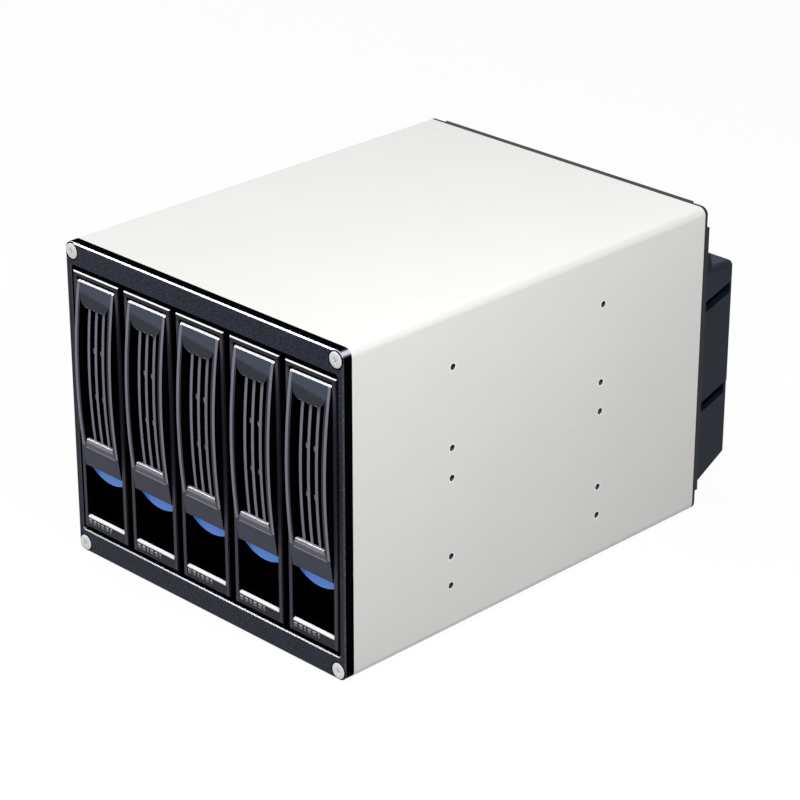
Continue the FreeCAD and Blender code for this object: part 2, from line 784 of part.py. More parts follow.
def make_hood_screws():
    return [pan_screw(x, z, cover_back + lug_t, lug_t + 2 * plate_t + 1.5, -1)
            for x, z in lug_spots()]


# ---- Hood and fan ----------------------------------------------------------------------
def hood_section(y, lean, low, high, climb):
    """Outline of the hood at one depth: flat floor and roof, sides in stepped panels."""
    out = hood_half_w - lean
    right = [(out, high)]
    for drop in louvre_drops:
        edge = hood_high - drop + climb
        right += [(out, edge), (out - louvre_step, edge)]
        out -= louvre_step
    right.append((out, low))
    left = [(-x, z) for x, z in reversed(right)]
    return Part.makePolygon([Vec(x, y, z) for x, z in right + left + right[:1]])


def make_fan_hood():
    """The moulded fan hood: vented sides that lean in, a climbing floor, lugs and posts."""
    back_low, back_high = hood_low + hood_rise, hood_high - hood_fall
    outer = Part.makeLoft([hood_section(cover_back, 0, hood_low, hood_high, 0),
                           hood_section(hood_back, hood_taper, back_low, back_high, louvre_climb)],
                          True, True)
    smooth = Part.makeLoft([
        rectangle(cover_back, hood_half_w, hood_low, hood_high),
        rectangle(hood_back, hood_half_w - hood_taper, back_low, back_high)], True, True)
    outer = outer.common(smooth.makeFillet(hood_edge_r, roof_and_back_edges(smooth)))
    side = len(louvre_drops) * louvre_step + hood_wall
    inner = Part.makeLoft([
        rectangle(cover_back, hood_half_w - side, hood_low + hood_wall, hood_high - hood_wall),
        rectangle(hood_back - hood_wall, hood_half_w - hood_taper - side,
                  back_low + hood_wall, back_high - hood_wall)], True, True)
    shell = outer.cut(inner)
    posts = [rod((x, fan_back, z), (0, 1, 0), screw_post_r, hood_back - hood_wall - fan_back + 0.5)
             for x, z in fan_screw_spots()]
    lugs = []
    for x, z in lug_spots():
        upper = z > hood_high
        root = hood_high - 0.5 if upper else hood_low + 0.5
        tip = hood_high + lug_h if upper else hood_low - lug_h
        low, high = min(root, tip), max(root, tip)
        lugs.append(block(x - lug_w / 2, x + lug_w / 2, cover_back, cover_back + lug_t, low, high))
        for edge in (-1, 1):
            x0 = x + edge * (lug_w / 2 - gusset_t / 2) - gusset_t / 2
            lugs.append(prism_x([(cover_back, tip), (cover_back + lug_t, tip),
                                 (cover_back + gusset_reach, root_at(gusset_reach, upper)),
                                 (cover_back, root)], x0, x0 + gusset_t))
    hood = join([shell] + posts + lugs)
    mouth = rod((0, hood_back - hood_wall - 0.5, fan_z), (0, 1, 0), grille_r, hood_wall + 1)
    bores = [rod((x, fan_back, z), (0, 1, 0), screw_r + screw_fit, hood_back - fan_back)
             for x, z in fan_screw_spots()]
    bores += [rod((x, cover_back, z), (0, 1, 0), screw_r + screw_fit, lug_t)
              for x, z in lug_spots()]
    return cut_all(hood, [mouth] + bores + hood_vents())


def roof_and_back_edges(hood):
    """The roof's back and side edges, and the upright edges of the back."""
    found = []
    for edge in hood.Edges:
        box = edge.BoundBox
        on_back = box.YMin > hood_back - 0.01
        on_roof = box.ZMin > hood_high - hood_fall - 0.01
        upright = box.ZMax - box.ZMin > hood_high / 2
        if on_back and (upright or on_roof) or on_roof and box.YMax > hood_back - 0.01:
            found.append(edge)
    return found


def hood_vents():
    """The slots under the louvres, through both sides."""
    slope = louvre_climb / hood_depth
    near, far = cover_back + hood_vent_inset, hood_back - hood_vent_inset
    tools = []
    for drop in louvre_drops:
        low = hood_high - drop + slope * hood_vent_inset
        high = hood_high - drop + slope * (hood_depth - hood_vent_inset)
        for x0, x1 in ((-hood_half_w, -fan_size / 2), (fan_size / 2, hood_half_w)):
            tools.append(prism_x([(near, low), (far, high), (far, high - hood_vent_h),
                                  (near, low - hood_vent_h)], x0, x1))
    return tools


def root_at(depth, upper):
    """Height a little inside the hood's roof or floor at a depth behind the cover plate."""
    share = depth / hood_depth
    if upper:
        return hood_high - hood_fall * share - 0.5
    return hood_low + hood_rise * share + 0.5


def rectangle(y, half_w, low, high):
    """A closed rectangle in the plane Y = y."""
    corners = [(-half_w, low), (half_w, low), (half_w, high), (-half_w, high), (-half_w, low)]
    return Part.makePolygon([Vec(x, y, z) for x, z in corners])


def fan_screw_spots():
    half = fan_size / 2 - fan_hole_inset
    return [(side * half, fan_z + level * half) for side in (-1, 1) for level in (-1, 1)]


def make_fan_frame():
    """The square fan frame: flanges, waisted body, motor seat and struts."""
    half = fan_size / 2
    frame = slab(half, fan_z - half, fan_z + half, fan_front, fan_back, fan_corner_r)
    ring_r = half - fan_waist / 2
    waist = block(-half, half, fan_front + fan_flange, fan_back - fan_flange, fan_z - half, fan_z + half)
    waist = waist.cut(rod((0, fan_front, fan_z), (0, 1, 0), ring_r, fan_depth))
    tools = [waist, rod((0, fan_front, fan_z), (0, 1, 0), fan_bore_r, fan_depth)]
    for x, z in fan_screw_spots():
        tools.append(rod((x, fan_front, z), (0, 1, 0), fan_hole_r, fan_depth))
    frame = cut_all(frame, tools)
    seat = rod((0, fan_back - motor_t, fan_z), (0, 1, 0), motor_r, motor_t)
    struts = []
    for quarter in range(4):
        arm = block(0, fan_bore_r + 1, fan_back - motor_t, fan_back, fan_z - strut_w / 2,
                    fan_z + strut_w / 2)
        arm.rotate(Vec(0, 0, fan_z), Vec(0, 1, 0), 45 + 90 * quarter)
        struts.append(arm)
    frame = join([frame, seat] + struts)
    return frame.cut(rod((0, fan_back - motor_t, fan_z), (0, 1, 0), shaft_r + shaft_fit, motor_t))


def blade_section(radius, chord, pitch):
    """A thin flat blade section across one radius."""
    turn = math.radians(pitch)
    along = chord / 2 * math.sin(turn)
    around = chord / 2 * math.cos(turn)
    lift_y = blade_t / 2 * math.cos(turn)
    lift_x = blade_t / 2 * math.sin(turn)
    middle = fan_front + hub_start + hub_len / 2
    corners = [Vec(x, middle + y, fan_z + radius)
               for x, y in ((-around - lift_x, -along + lift_y), (around - lift_x, along + lift_y),
                            (around + lift_x, along - lift_y), (-around + lift_x, -along - lift_y))]
    return Part.makePolygon(corners + corners[:1])


def make_fan_rotor():
    """Hub, twisted blades and shaft."""
    hub_front = fan_front + hub_start
    hub = rod((0, hub_front, fan_z), (0, 1, 0), hub_r, hub_len)
    hub = hub.makeFillet(hub_edge, edges_at(hub, hub_front, lambda edge: True))
    tip_r = fan_bore_r - blade_tip_gap
    blades = []
    for index in range(blade_count):
        blade = Part.makeLoft([blade_section(hub_r - blade_sink, blade_chord_root, blade_pitch_root),
                               blade_section(tip_r + 1, blade_chord_tip, blade_pitch_tip)], True, True)
        blade.rotate(Vec(0, 0, fan_z), Vec(0, 1, 0), 360.0 / blade_count * index)
        blades.append(blade)
    shaft = rod((0, hub_front + hub_len, fan_z), (0, 1, 0), shaft_r, fan_back - hub_front - hub_len)
    reach = rod((0, fan_front, fan_z), (0, 1, 0), tip_r, fan_depth)
    return join([hub, shaft] + blades).common(reach)


def make_fan_grille():
    """The finger grille in the hood's back wall: rings on four spokes."""
    outer = grille_r - grille_fit
    y0 = hood_back - hood_wall
    step = (outer - grille_hub_r) / grille_rings
    rings = [rod((0, y0, fan_z), (0, 1, 0), grille_hub_r, grille_t)]
    for index in range(grille_rings):
        radius = grille_hub_r + (index + 1) * step
        ring = rod((0, y0, fan_z), (0, 1, 0), radius, grille_t)
        rings.append(ring.cut(rod((0, y0, fan_z), (0, 1, 0), radius - grille_bar, grille_t)))
    spokes = []
    for quarter in range(2):
        bar = block(-outer + 1, outer - 1, y0, y0 + grille_t, fan_z - grille_bar / 2,
                    fan_z + grille_bar / 2)
        bar.rotate(Vec(0, 0, fan_z), Vec(0, 1, 0), 45 + 90 * quarter)
        spokes.append(bar)
    rim = rod((0, y0 - grille_flange, fan_z), (0, 1, 0), grille_r + grille_flange / 2, grille_flange)
    rim = rim.cut(rod((0, y0 - grille_flange, fan_z), (0, 1, 0), outer - grille_bar, grille_flange))
    return join(rings + spokes + [rim])


def make_fan_screws():
    return [pan_screw(x, z, hood_back, hood_back - fan_back + fan_bite, -1) for x, z in fan_screw_spots()]


# ---- Build --------------------------------------------------------------------------------
os.makedirs("parts", exist_ok=True)
save("case_shell", make_case_shell())
save("front_bezel", make_front_bezel())
save("bezel_screws", *make_bezel_screws())
save("guide_rack_upper", make_rack(1))
save("guide_rack_lower", make_rack(-1))
for number, middle in enumerate(tray_centres, 1):
    save("tray_front_%d" % number, make_tray_front(middle))
    save("tray_carrier_%d" % number, make_tray_carrier(middle))
    save("sill_bar_%d" % number, make_sill_bar(middle))
    save("lever_%d" % number, make_lever(middle))
    save("lever_pin_%d" % number, make_lever_pin(middle))
    save("release_button_%d" % number, make_release_button(middle))
save("backplane", make_backplane())
save("drive_plugs", *make_drive_plugs())
save("data_sockets", *[make_socket(x, data_socket_w, data_socket_h) for x in data_socket_spots()])
save("power_sockets", *[make_socket(side * power_socket_x, power_socket_w, power_socket_h)
                        for side in (-1, 1)])
save("board_posts", *make_posts())
save("board_screws", *make_board_screws())
save("rear_plate", make_rear_plate())
save("rear_cover", make_rear_cover())
save("rear_screws", *make_rear_screws())
save("cover_screws", *make_cover_screws())
save("fan_hood", make_fan_hood())
save("hood_screws", *make_hood_screws())
save("fan_frame", make_fan_frame())
save("fan_rotor", make_fan_rotor())
save("fan_grille", make_fan_grille())
save("fan_screws", *make_fan_screws())
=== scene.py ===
# %% [markdown]
# # A hot swap drive cage
# The cage is a square aluminium tube with a black bezel in front, five trays that pull out,
# a board of sockets behind them and a fan in a moulded hood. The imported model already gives
# every hard part at its real place. This lesson adds what makes it look made: paint, moulded
# plastic, screw heads, contacts, circuit parts and lamps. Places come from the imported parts'
# own boxes and mounts wherever they can, and the few sizes left over are named.

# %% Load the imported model
import json
import math
import bmesh
import bpy
from mathutils import Matrix, Vector


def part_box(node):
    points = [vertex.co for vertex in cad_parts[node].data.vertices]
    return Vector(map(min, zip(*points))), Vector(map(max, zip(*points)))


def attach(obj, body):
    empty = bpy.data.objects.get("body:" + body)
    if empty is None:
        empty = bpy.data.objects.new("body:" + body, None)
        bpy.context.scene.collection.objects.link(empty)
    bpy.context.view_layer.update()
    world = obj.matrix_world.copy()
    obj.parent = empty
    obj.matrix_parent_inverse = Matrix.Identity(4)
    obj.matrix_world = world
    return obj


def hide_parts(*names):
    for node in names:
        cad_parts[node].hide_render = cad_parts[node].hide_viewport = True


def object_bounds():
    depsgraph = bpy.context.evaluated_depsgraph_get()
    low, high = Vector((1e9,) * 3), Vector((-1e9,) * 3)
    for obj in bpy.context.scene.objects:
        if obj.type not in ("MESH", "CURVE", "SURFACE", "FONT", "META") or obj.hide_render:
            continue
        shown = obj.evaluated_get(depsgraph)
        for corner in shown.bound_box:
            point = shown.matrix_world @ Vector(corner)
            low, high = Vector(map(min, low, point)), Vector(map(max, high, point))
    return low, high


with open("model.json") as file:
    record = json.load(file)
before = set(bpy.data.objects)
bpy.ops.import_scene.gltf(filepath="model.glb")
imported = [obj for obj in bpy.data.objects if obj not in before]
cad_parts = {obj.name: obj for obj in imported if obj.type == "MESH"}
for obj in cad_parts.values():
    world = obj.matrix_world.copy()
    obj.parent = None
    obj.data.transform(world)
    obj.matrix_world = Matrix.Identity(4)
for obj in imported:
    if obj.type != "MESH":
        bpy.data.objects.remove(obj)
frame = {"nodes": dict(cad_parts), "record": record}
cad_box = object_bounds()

MM = 0.001
nodes = frame["nodes"]


# %% [markdown]
# ## Sums on sockets
# A shader is a small calculation, and a calculation is easiest to read as one. `Value` wraps a
# node's output, so that `1 - mask` or `grain * 0.2` adds the Math nodes by itself. Dragging
# the same nodes about by hand gives the same picture, but nobody can read it afterwards.

# %% A socket that behaves like a number
class Value:
    """One output of a node, for use in sums."""

    def __init__(self, finish, socket):
        self.finish, self.socket = finish, socket

    def math(self, operation, first, second=0.0):
        return self.finish.node("ShaderNodeMath", {"operation": operation}, {0: first, 1: second})

    def __add__(self, other):
        return self.math("ADD", self, other)

    def __radd__(self, other):
        return self.math("ADD", other, self)

    def __sub__(self, other):
        return self.math("SUBTRACT", self, other)

    def __rsub__(self, other):
        return self.math("SUBTRACT", other, self)

    def __mul__(self, other):
        return self.math("MULTIPLY", self, other)

    def __rmul__(self, other):
        return self.math("MULTIPLY", other, self)

    def __truediv__(self, other):
        return self.math("DIVIDE", self, other)

    def __rtruediv__(self, other):
        return self.math("DIVIDE", other, self)

    def under(self, limit):
        """1 where the value is below a limit, and 0 elsewhere."""
        return self.math("LESS_THAN", self, limit)

    def over(self, limit):
        """1 where the value is above a limit, and 0 elsewhere."""
        return self.math("GREATER_THAN", self, limit)

    def size(self):
        """The value without its sign."""
        return self.math("ABSOLUTE", self)

    def fraction(self):
        """What is left after the whole number, from 0 to 1."""
        return self.math("FRACT", self)

    def larger(self, other):
        """The larger of two values, which joins two masks."""
        return self.math("MAXIMUM", self, other)

    def root(self):
        return self.math("SQRT", self)

    def ramp(self, *stops):
        """A level read from (place, level) stops."""
        return self.finish.node("ShaderNodeValToRGB", {"stops": stops}, {"Fac": self})


print("sums on sockets are ready")


# %% [markdown]
# ## One material at a time
# `Finish` is a material under construction. Its `node` method makes any node: the type, then
# its settings, then the values or links of its sockets. Colours are mixed by `mix`, because a
# Math node would turn them grey. Every pattern is placed by Object coordinates, which are the
# real metres of the part: the grain keeps its true size and moves with the part.

# %% A material under construction
class Finish:
    """The nodes of one procedural material, or of the world."""

    def __init__(self, owner):
        self.owner = owner
        owner.use_nodes = True
        self.tree = owner.node_tree
        self.tree.nodes.clear()
        self.place = self.node("ShaderNodeTexCoord", output="Object")

    @classmethod
    def named(cls, name):
        """A new material."""
        return cls(bpy.data.materials.new(name))

    def node(self, kind, settings=None, sockets=None, output=0):
        """Any node, with its settings first and then the values or links of its sockets."""
        made = self.tree.nodes.new(kind)
        for key, setting in (settings or {}).items():
            if key == "stops":
                self.set_stops(made.color_ramp, setting)
            else:
                setattr(made, key, setting)
        for key, value in (sockets or {}).items():
            if isinstance(value, Value):
                self.tree.links.new(value.socket, made.inputs[key])
            else:
                made.inputs[key].default_value = value
        return Value(self, made.outputs[output])

    @staticmethod
    def set_stops(ramp, stops):
        while len(ramp.elements) < len(stops):
            ramp.elements.new(0.5)
        for element, (place, level) in zip(ramp.elements, stops):
            element.position = place
            element.color = (level, level, level, 1)

    def noise(self, scale, detail=2.0, roughness=0.5, stretch=(1, 1, 1)):
        """Clouds from 0 to 1; scale is roughly how many there are in a metre."""
        place = self.node("ShaderNodeMapping", {}, {"Vector": self.place, "Scale": stretch})
        return self.node("ShaderNodeTexNoise", {}, {
            "Vector": place, "Scale": scale, "Detail": detail, "Roughness": roughness})

    def axes(self):
        """X, Y and Z of the point, in millimetres."""
        parts = self.node("ShaderNodeSeparateXYZ", {}, {0: self.place}).socket.node.outputs
        return [Value(self, part) * 1000.0 for part in parts]

    def facing(self):
        """X, Y and Z of the direction that the surface faces in."""
        normal = self.node("ShaderNodeNewGeometry", output="True Normal")
        parts = self.node("ShaderNodeSeparateXYZ", {}, {0: normal}).socket.node.outputs
        return [Value(self, part) for part in parts]

    def rays(self):
        """1 for what the camera sees at once, and 1 for what it sees mirrored or through glass."""
        seen, mirrored, through = (self.node("ShaderNodeLightPath", output="Is %s Ray" % kind)
                                   for kind in ("Camera", "Glossy", "Transmission"))
        return seen, mirrored.larger(through)

    def edges(self):
        """1 on bevels and roundings, 0 on faces that look straight along an axis."""
        x, y, z = self.facing()
        return x.size().larger(y.size()).larger(z.size()).ramp((0.80, 1.0), (0.96, 0.0))

    def mix(self, mask, first, second):
        """The first colour where the mask is 0, and the second where it is 1."""
        return self.node("ShaderNodeMix", {"data_type": "RGBA"}, {0: mask, 6: first, 7: second}, 2)

    def bump(self, height, depth, below=None):
        """A Normal from heights between 0 and 1, which stand for a depth in millimetres."""
        sockets = {"Height": height, "Distance": depth * MM, "Strength": 1.0}
        if below:
            sockets["Normal"] = below
        return self.node("ShaderNodeBump", {}, sockets)

    def shader(self, **sockets):
        """The Principled shader; an underscore in a name stands for a space."""
        named = {key.replace("_", " "): value for key, value in sockets.items()}
        return self.node("ShaderNodeBsdfPrincipled", {}, named)

    def surface(self, **sockets):
        """A finished material of one Principled shader."""
        return self.show(self.shader(**sockets))

    def shaded(self, mask, **sockets):
        """A surface that turns into a black without any gloss, as painted shade, where the mask is
        1.
        """
        hollow = self.shader(Base_Color=colour(4, 4, 6), Roughness=0.8, Specular_IOR_Level=0.0)
        return self.show(self.node("ShaderNodeMixShader", {}, {
            0: mask, 1: self.shader(**sockets), 2: hollow}))

    def show(self, shader, output="ShaderNodeOutputMaterial"):
        """Links the last shader to the output, and gives back what the nodes belong to."""
        out = self.tree.nodes.new(output)
        self.tree.links.new(shader.socket, out.inputs["Surface"])
        print(self.owner.name, "has", len(self.tree.nodes), "nodes")
        return self.owner


WHITE = (1, 1, 1, 1)


def colour(red, green, blue):
    """A colour as it looks on a screen, from 0 to 255, turned into light."""
    def light(level):
        level = level / 255
        return level / 12.92 if level <= 0.04045 else ((level + 0.055) / 1.055) ** 2.4
    return (light(red), light(green), light(blue), 1.0)


print("black has", colour(4, 4, 6)[:3], "as light")


# %% [markdown]
# ## Silver paint
# The tube is aluminium with satin silver-white paint. Such paint is never one flat colour. It
# has a fine orange peel, faint lines along the way the metal was drawn, and places where a
# hand has changed the gloss. Three noises of very different sizes do this with no image and
# with no seam at the corners.

# %% Silver paint of the tube
SIDE_HOLE_R = 1.25
RIM_W = 0.45               # bare metal round each side hole
SKIN = 0.2                 # how far in from the sides the rims reach


def bay_holes():
    """How far the side holes' columns lie from the middle, the bay's height, two lowest heights."""
    mounts = {mount["name"]: mount for mount in frame["record"]["mounts"]}
    outer, inner = mounts["right_holes_outer"], mounts["right_holes_inner"]
    column = outer["dims"]["spacing_x_mm"] / 2
    bay = outer["dims"]["spacing_y_mm"] / 2
    lows = [mount["pos_m"][2] / MM - mount["dims"]["spacing_y_mm"] / 2 for mount in (outer, inner)]
    return column, bay, lows


def silver_paint():
    paint = Finish.named("silver_paint")
    x, y, z = paint.axes()
    peel = paint.noise(2600, 3.0)
    drawn = paint.noise(900, 2.0, stretch=(1, 0.02, 1))
    handled = paint.noise(24, 4.0, 0.6)
    column, bay, (first, second) = bay_holes()
    aside = y.size() - column
    rims = []
    for low in (first, second):
        off = (((z - low) / bay + 0.5).fraction() - 0.5) * bay
        rims.append((aside * aside + off * off).root().under(SIDE_HOLE_R + RIM_W))
    rim = rims[0].larger(rims[1] * z.under(second + 1.5 * bay))
    rim = rim * x.size().over(cad_box[1].x / MM - SKIN)
    tint = paint.mix(handled, colour(224, 223, 220), colour(231, 230, 228))
    tint = paint.mix(drawn * 0.12, tint, colour(200, 198, 194))
    tint = paint.mix(rim, tint, colour(248, 248, 248))
    normal = paint.bump(peel, 0.02, paint.bump(drawn, 0.01))
    return paint.surface(Base_Color=tint, Normal=normal,
                         Roughness=0.34 + handled * 0.12 + peel * 0.06 - rim * 0.16,
                         Coat_Weight=0.25 + handled * 0.1, Coat_Roughness=0.08)


silver_case = silver_paint()


# %% [markdown]
# ## Black textured coat
# The bezel is a thick frame with a textured powder coat: a bumpy black skin with tiny blue-grey
# points painted in as glints. A coarse noise makes the bumps, and a second one, cut off sharply by
# a ramp, picks out the painted glints. The edges are glossier, and those that face upward are
# painted pale grey as a painted highlight. What lies behind the front face, and a ring round each
# corner screw, is painted black as painted shade.

# %% Textured coat of the bezel
HEAD_R = 3.0
SEAT_R = 3.5               # painted shade: a black ring in the gap round each corner screw
screw_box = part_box("bezel_screws")
screw_x, screw_high = (place / MM - HEAD_R for place in (screw_box[1].x, screw_box[1].z))
screw_low = screw_box[0].z / MM + HEAD_R


def bezel_coat():
    coat = Finish.named("bezel_coat")
    x, _, z = coat.axes()
    aside = x.size() - screw_x
    level = (z - (screw_low + screw_high) / 2).size() - (screw_high - screw_low) / 2
    seat = (aside * aside + level * level).root().under(SEAT_R)
    _, back, up = coat.facing()
    front = back.under(-0.9)
    edge = coat.edges()
    grain = coat.noise(1500, 3.0, 0.7)
    glint_specks = coat.noise(2100, 1.0).ramp((0.54, 0.0), (0.68, 1.0))
    tint = coat.mix(grain.ramp((0.35, 0.0), (0.65, 1.0)), colour(6, 9, 18), colour(38, 45, 64))
    # painted glints: random blue-grey specks
    tint = coat.mix(glint_specks * 0.5, tint, colour(96, 106, 134))
    tint = coat.mix(seat, tint, colour(3, 3, 4))
    # painted highlight: edges that face upward are painted pale grey
    tint = coat.mix(edge * up.over(0.3), tint, colour(186, 190, 202))
    # painted shade: all but the front face and its edges, and the ring round each screw, turn black
    hidden = (1 - front.larger(edge)).larger(seat)
    return coat.shaded(hidden, Base_Color=tint,
                       Roughness=0.36 + grain * (1 - edge) * 0.2 - edge * 0.14,
                       Coat_Weight=edge * 0.8, Coat_Roughness=0.18, Specular_IOR_Level=0.14,
                       Normal=coat.bump(grain * (1 - edge), 0.1))


black_bezel = bezel_coat()


# %% [markdown]
# ## Moulded black plastic
# Plastic comes out of the mould with the mould's own grain, and the flat parts often shine
# less than the ribs. One function writes all the plain mouldings: a dark and a lighter tone
# in slow clouds, a fine spark-eroded grain in the bump, and a roughness that follows both.

# %% Plain mouldings
def moulded(name, dark, light, rough, depth=0.02, gloss=0.5):
    skin = Finish.named(name)
    grain = skin.noise(3800, 2.0)
    clouds = skin.noise(60, 3.0)
    return skin.surface(Base_Color=skin.mix(clouds, dark, light), Specular_IOR_Level=gloss,
                        Roughness=rough + grain * 0.10 + clouds * 0.06,
                        Normal=skin.bump(grain, depth))


mouldings = {
    "socket_plastic": moulded("socket_black", colour(18, 18, 20), colour(28, 28, 30), 0.5),
    "hood_plastic": moulded("hood_black", colour(14, 21, 34), colour(21, 30, 45), 0.36, 0.01, 0.08),
    "fan_plastic": moulded("fan_black", colour(18, 19, 22), colour(28, 29, 32), 0.4),
}


# %% [markdown]
# ## Places on a tray
# The five trays are equal and evenly spaced, so the fraction of x divided by the spacing gives
# the same local place on each of them. One material can then tell a tray's hollow from its
# frame, and it does so wherever the tray has slid to, because Object coordinates move too.

# %% Local places
BAYS = range(1, 6)
LEVER_GAP = 0.45           # air at each side of a lever
LEVER_BOW = 3.0            # how far a lever's face is arched
GRIP_H = 10.4              # the grip at a lever's foot
RAMP_H = 3.0               # the slope above the grip
tray_pitch = (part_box("lever_2")[0].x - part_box("lever_1")[0].x) / MM
lever_low, lever_high = (corner.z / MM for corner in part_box("lever_3"))
lever_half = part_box("lever_3")[1].x / MM
lever_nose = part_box("lever_3")[0].y / MM
grip_top = lever_low + GRIP_H
tray_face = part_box("tray_front_3")[0].y / MM
cavity_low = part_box("sill_bar_3")[1].z / MM
cavity_half = lever_half + LEVER_GAP


def from_middle(x):
    """X, from the middle of its own tray."""
    return ((x / tray_pitch + 0.5).fraction() - 0.5) * tray_pitch


def lever_face(z):
    """Y of the lever's bowed face at a height; z is a number or a Value."""
    off = (z - (lever_low + lever_high) / 2) / ((lever_high - lever_low) / 2)
    return off * off * LEVER_BOW + lever_nose


print("trays stand", round(tray_pitch, 2), "mm apart")


# %% [markdown]
# ## Tray plastic
# A tray's front is one moulding: a frame with a deep cavity that the lever lies in. The frame is
# grained and its edges are polished, and a thin upright at each side of the cavity is painted paler
# as a painted highlight. The cavity gets no light, so a mask by place turns it into a black without
# gloss, and the frame's side faces near the front are painted nearly black as painted shade.

# %% Tray plastic
CAVITY_LIP = 0.45          # depth of the cavity's edge that stays lit
CAVITY_TOP = 1.3           # from the lever's top to the cavity's
UPRIGHT_HIGHLIGHT = (0.25, 1.55)     # the pale upright, from the cavity's side
FLANK_DEEP = 9


def tray_plastic():
    skin = Finish.named("tray_plastic")
    x, y, z = skin.axes()
    aside = from_middle(x).size()
    hollow = aside.under(cavity_half + 0.03) * y.over(tray_face + CAVITY_LIP)
    hollow = hollow * z.over(cavity_low - 0.1) * z.under(lever_high + CAVITY_TOP)
    near, far = (cavity_half + place for place in UPRIGHT_HIGHLIGHT)
    upright = aside.over(near) * aside.under(far) * z.under(lever_high)
    # painted shade: side faces near the front are painted nearly black
    flank = skin.facing()[0].size().over(0.7) * y.under(tray_face + FLANK_DEEP)
    edge = skin.edges()
    grain = skin.noise(3800, 2.0)
    clouds = skin.noise(60, 3.0)
    tint = skin.mix(clouds, colour(17, 18, 28), colour(27, 28, 40))
    # painted highlight: the pale upright beside the cavity
    tint = skin.mix(upright * 0.8, tint, colour(74, 71, 90))
    return skin.shaded(hollow.larger(flank * 0.8), Base_Color=tint,
                       Roughness=0.34 + grain * 0.1 - edge * 0.24,
                       Coat_Weight=edge * 0.55, Coat_Roughness=0.1, Specular_IOR_Level=0.2,
                       Normal=skin.bump(grain * (1 - edge), 0.015))


tray_black = tray_plastic()


# %% [markdown]
# ## Release button
# The button is clear blue plastic. Its rounded edges are painted paler as a painted highlight, and
# a weak emission gives it a painted glow, as nothing lights it from inside. Higher up, between the
# lever's ribs, the same piece is painted black as painted shade.

# %% Blue button plastic
def button_plastic():
    skin = Finish.named("tab_blue")
    clouds = skin.noise(60, 3.0)
    grain = skin.noise(3800, 2.0)
    tint = skin.mix(clouds, colour(56, 132, 250), colour(84, 158, 255))
    # painted highlight: rounded edges painted pale blue
    tint = skin.mix(skin.edges(), tint, colour(176, 216, 255))
    # painted shade: above the grip the button is painted black
    painted_shade_above_grip = skin.axes()[2].over(grip_top - 0.5)
    tint = skin.mix(painted_shade_above_grip, tint, colour(12, 13, 18))
    # painted glow: the emission stands in for light the button does not get
    return skin.surface(Base_Color=tint, Roughness=0.26 + grain * 0.1, Coat_Weight=0.25,
                        Coat_Roughness=0.12, Emission_Color=tint, Emission_Strength=0.24,
                        Normal=skin.bump(grain, 0.004))


button_blue = button_plastic()


# %% [markdown]
# ## The lever's finishes
# The grip and the top plate of a lever are grained, and its side strips and ribs are smooth, in a
# paler grey that is partly their own tone and partly painted sheen. What lies behind the ribs, the
# side faces and the foot behind the crest are painted black as painted shade. The plate is painted
# lighter above its crease, and a band along the grip's top is painted pale, both as painted light.
# All of it is one moulding, so one material tells them apart by place. The lever's face is bowed,
# so depth is measured from a parabola with the same bow.

# %% Where the parts of a lever are
PLATE_H = 9.0              # the plate above the window
WINDOW_RIM = 2.1           # from a lever's side to its window
STRIP_W = 1.3              # smooth strip along each side
RIB_PITCH, RIB_HALF = 4.0, 0.62
RIB_DEEP = 1.95            # as far in as light reaches between the ribs
TIES = (30.9, 49.4)        # middles of the cross ties, above the foot
TIE_HALF, TIE_DEEP = 0.95, 2.6
LIT_TIE_PLACES = (-1.4, 2.6)        # spots on each tie painted as lit, across the lever
LIT_TIE_HALF = 0.8


def lever_parts(skin, across, z, depth):
    """Masks of a lever's window, of what is smooth and painted paler on it, and of what is painted
    black as shade.
    """
    aside = across.size()
    window = z.over(grip_top) * z.under(lever_high - PLATE_H)
    window = window * aside.under(lever_half - WINDOW_RIM)
    strips = aside.over(lever_half - STRIP_W) * z.over(grip_top - 1.5)
    ribs = (aside.under(RIB_HALF) + (aside - RIB_PITCH).size().under(RIB_HALF)) * window
    first, second = ((z - (lever_low + height)).size().under(TIE_HALF) for height in TIES)
    ties = (first + second) * aside.under(RIB_PITCH) * depth.under(TIE_DEEP)
    left, right = ((across - place).size().under(LIT_TIE_HALF) for place in LIT_TIE_PLACES)
    lit_tie_spots = ties * (left + right)
    # painted shade: the gaps behind the ribs and the ties turn black, all but their lit spots
    gaps = depth.over(RIB_DEEP).larger(ties * (1 - ribs)) * (1 - lit_tie_spots)
    # painted shade: the foot behind the crest turns black
    foot = z.under(grip_top + RAMP_H + 0.4) * depth.over(0.25) * (1 - ribs)
    # painted shade: the side faces turn black
    flank = skin.facing()[0].size().over(0.7)
    return window, strips.larger(ribs).larger(lit_tie_spots), (window * gaps.larger(foot)).larger(flank)


print("a lever has", len(TIES), "cross ties")


# %% Lever plastic
CREASE_H = 5.4             # the plate's crease, from the top
CREASE_HALF = 0.5
CREASE_SLOPE = 0.10        # the crease runs a little downhill
BRINK_H, BRINK_HALF = 2.3, 8.0


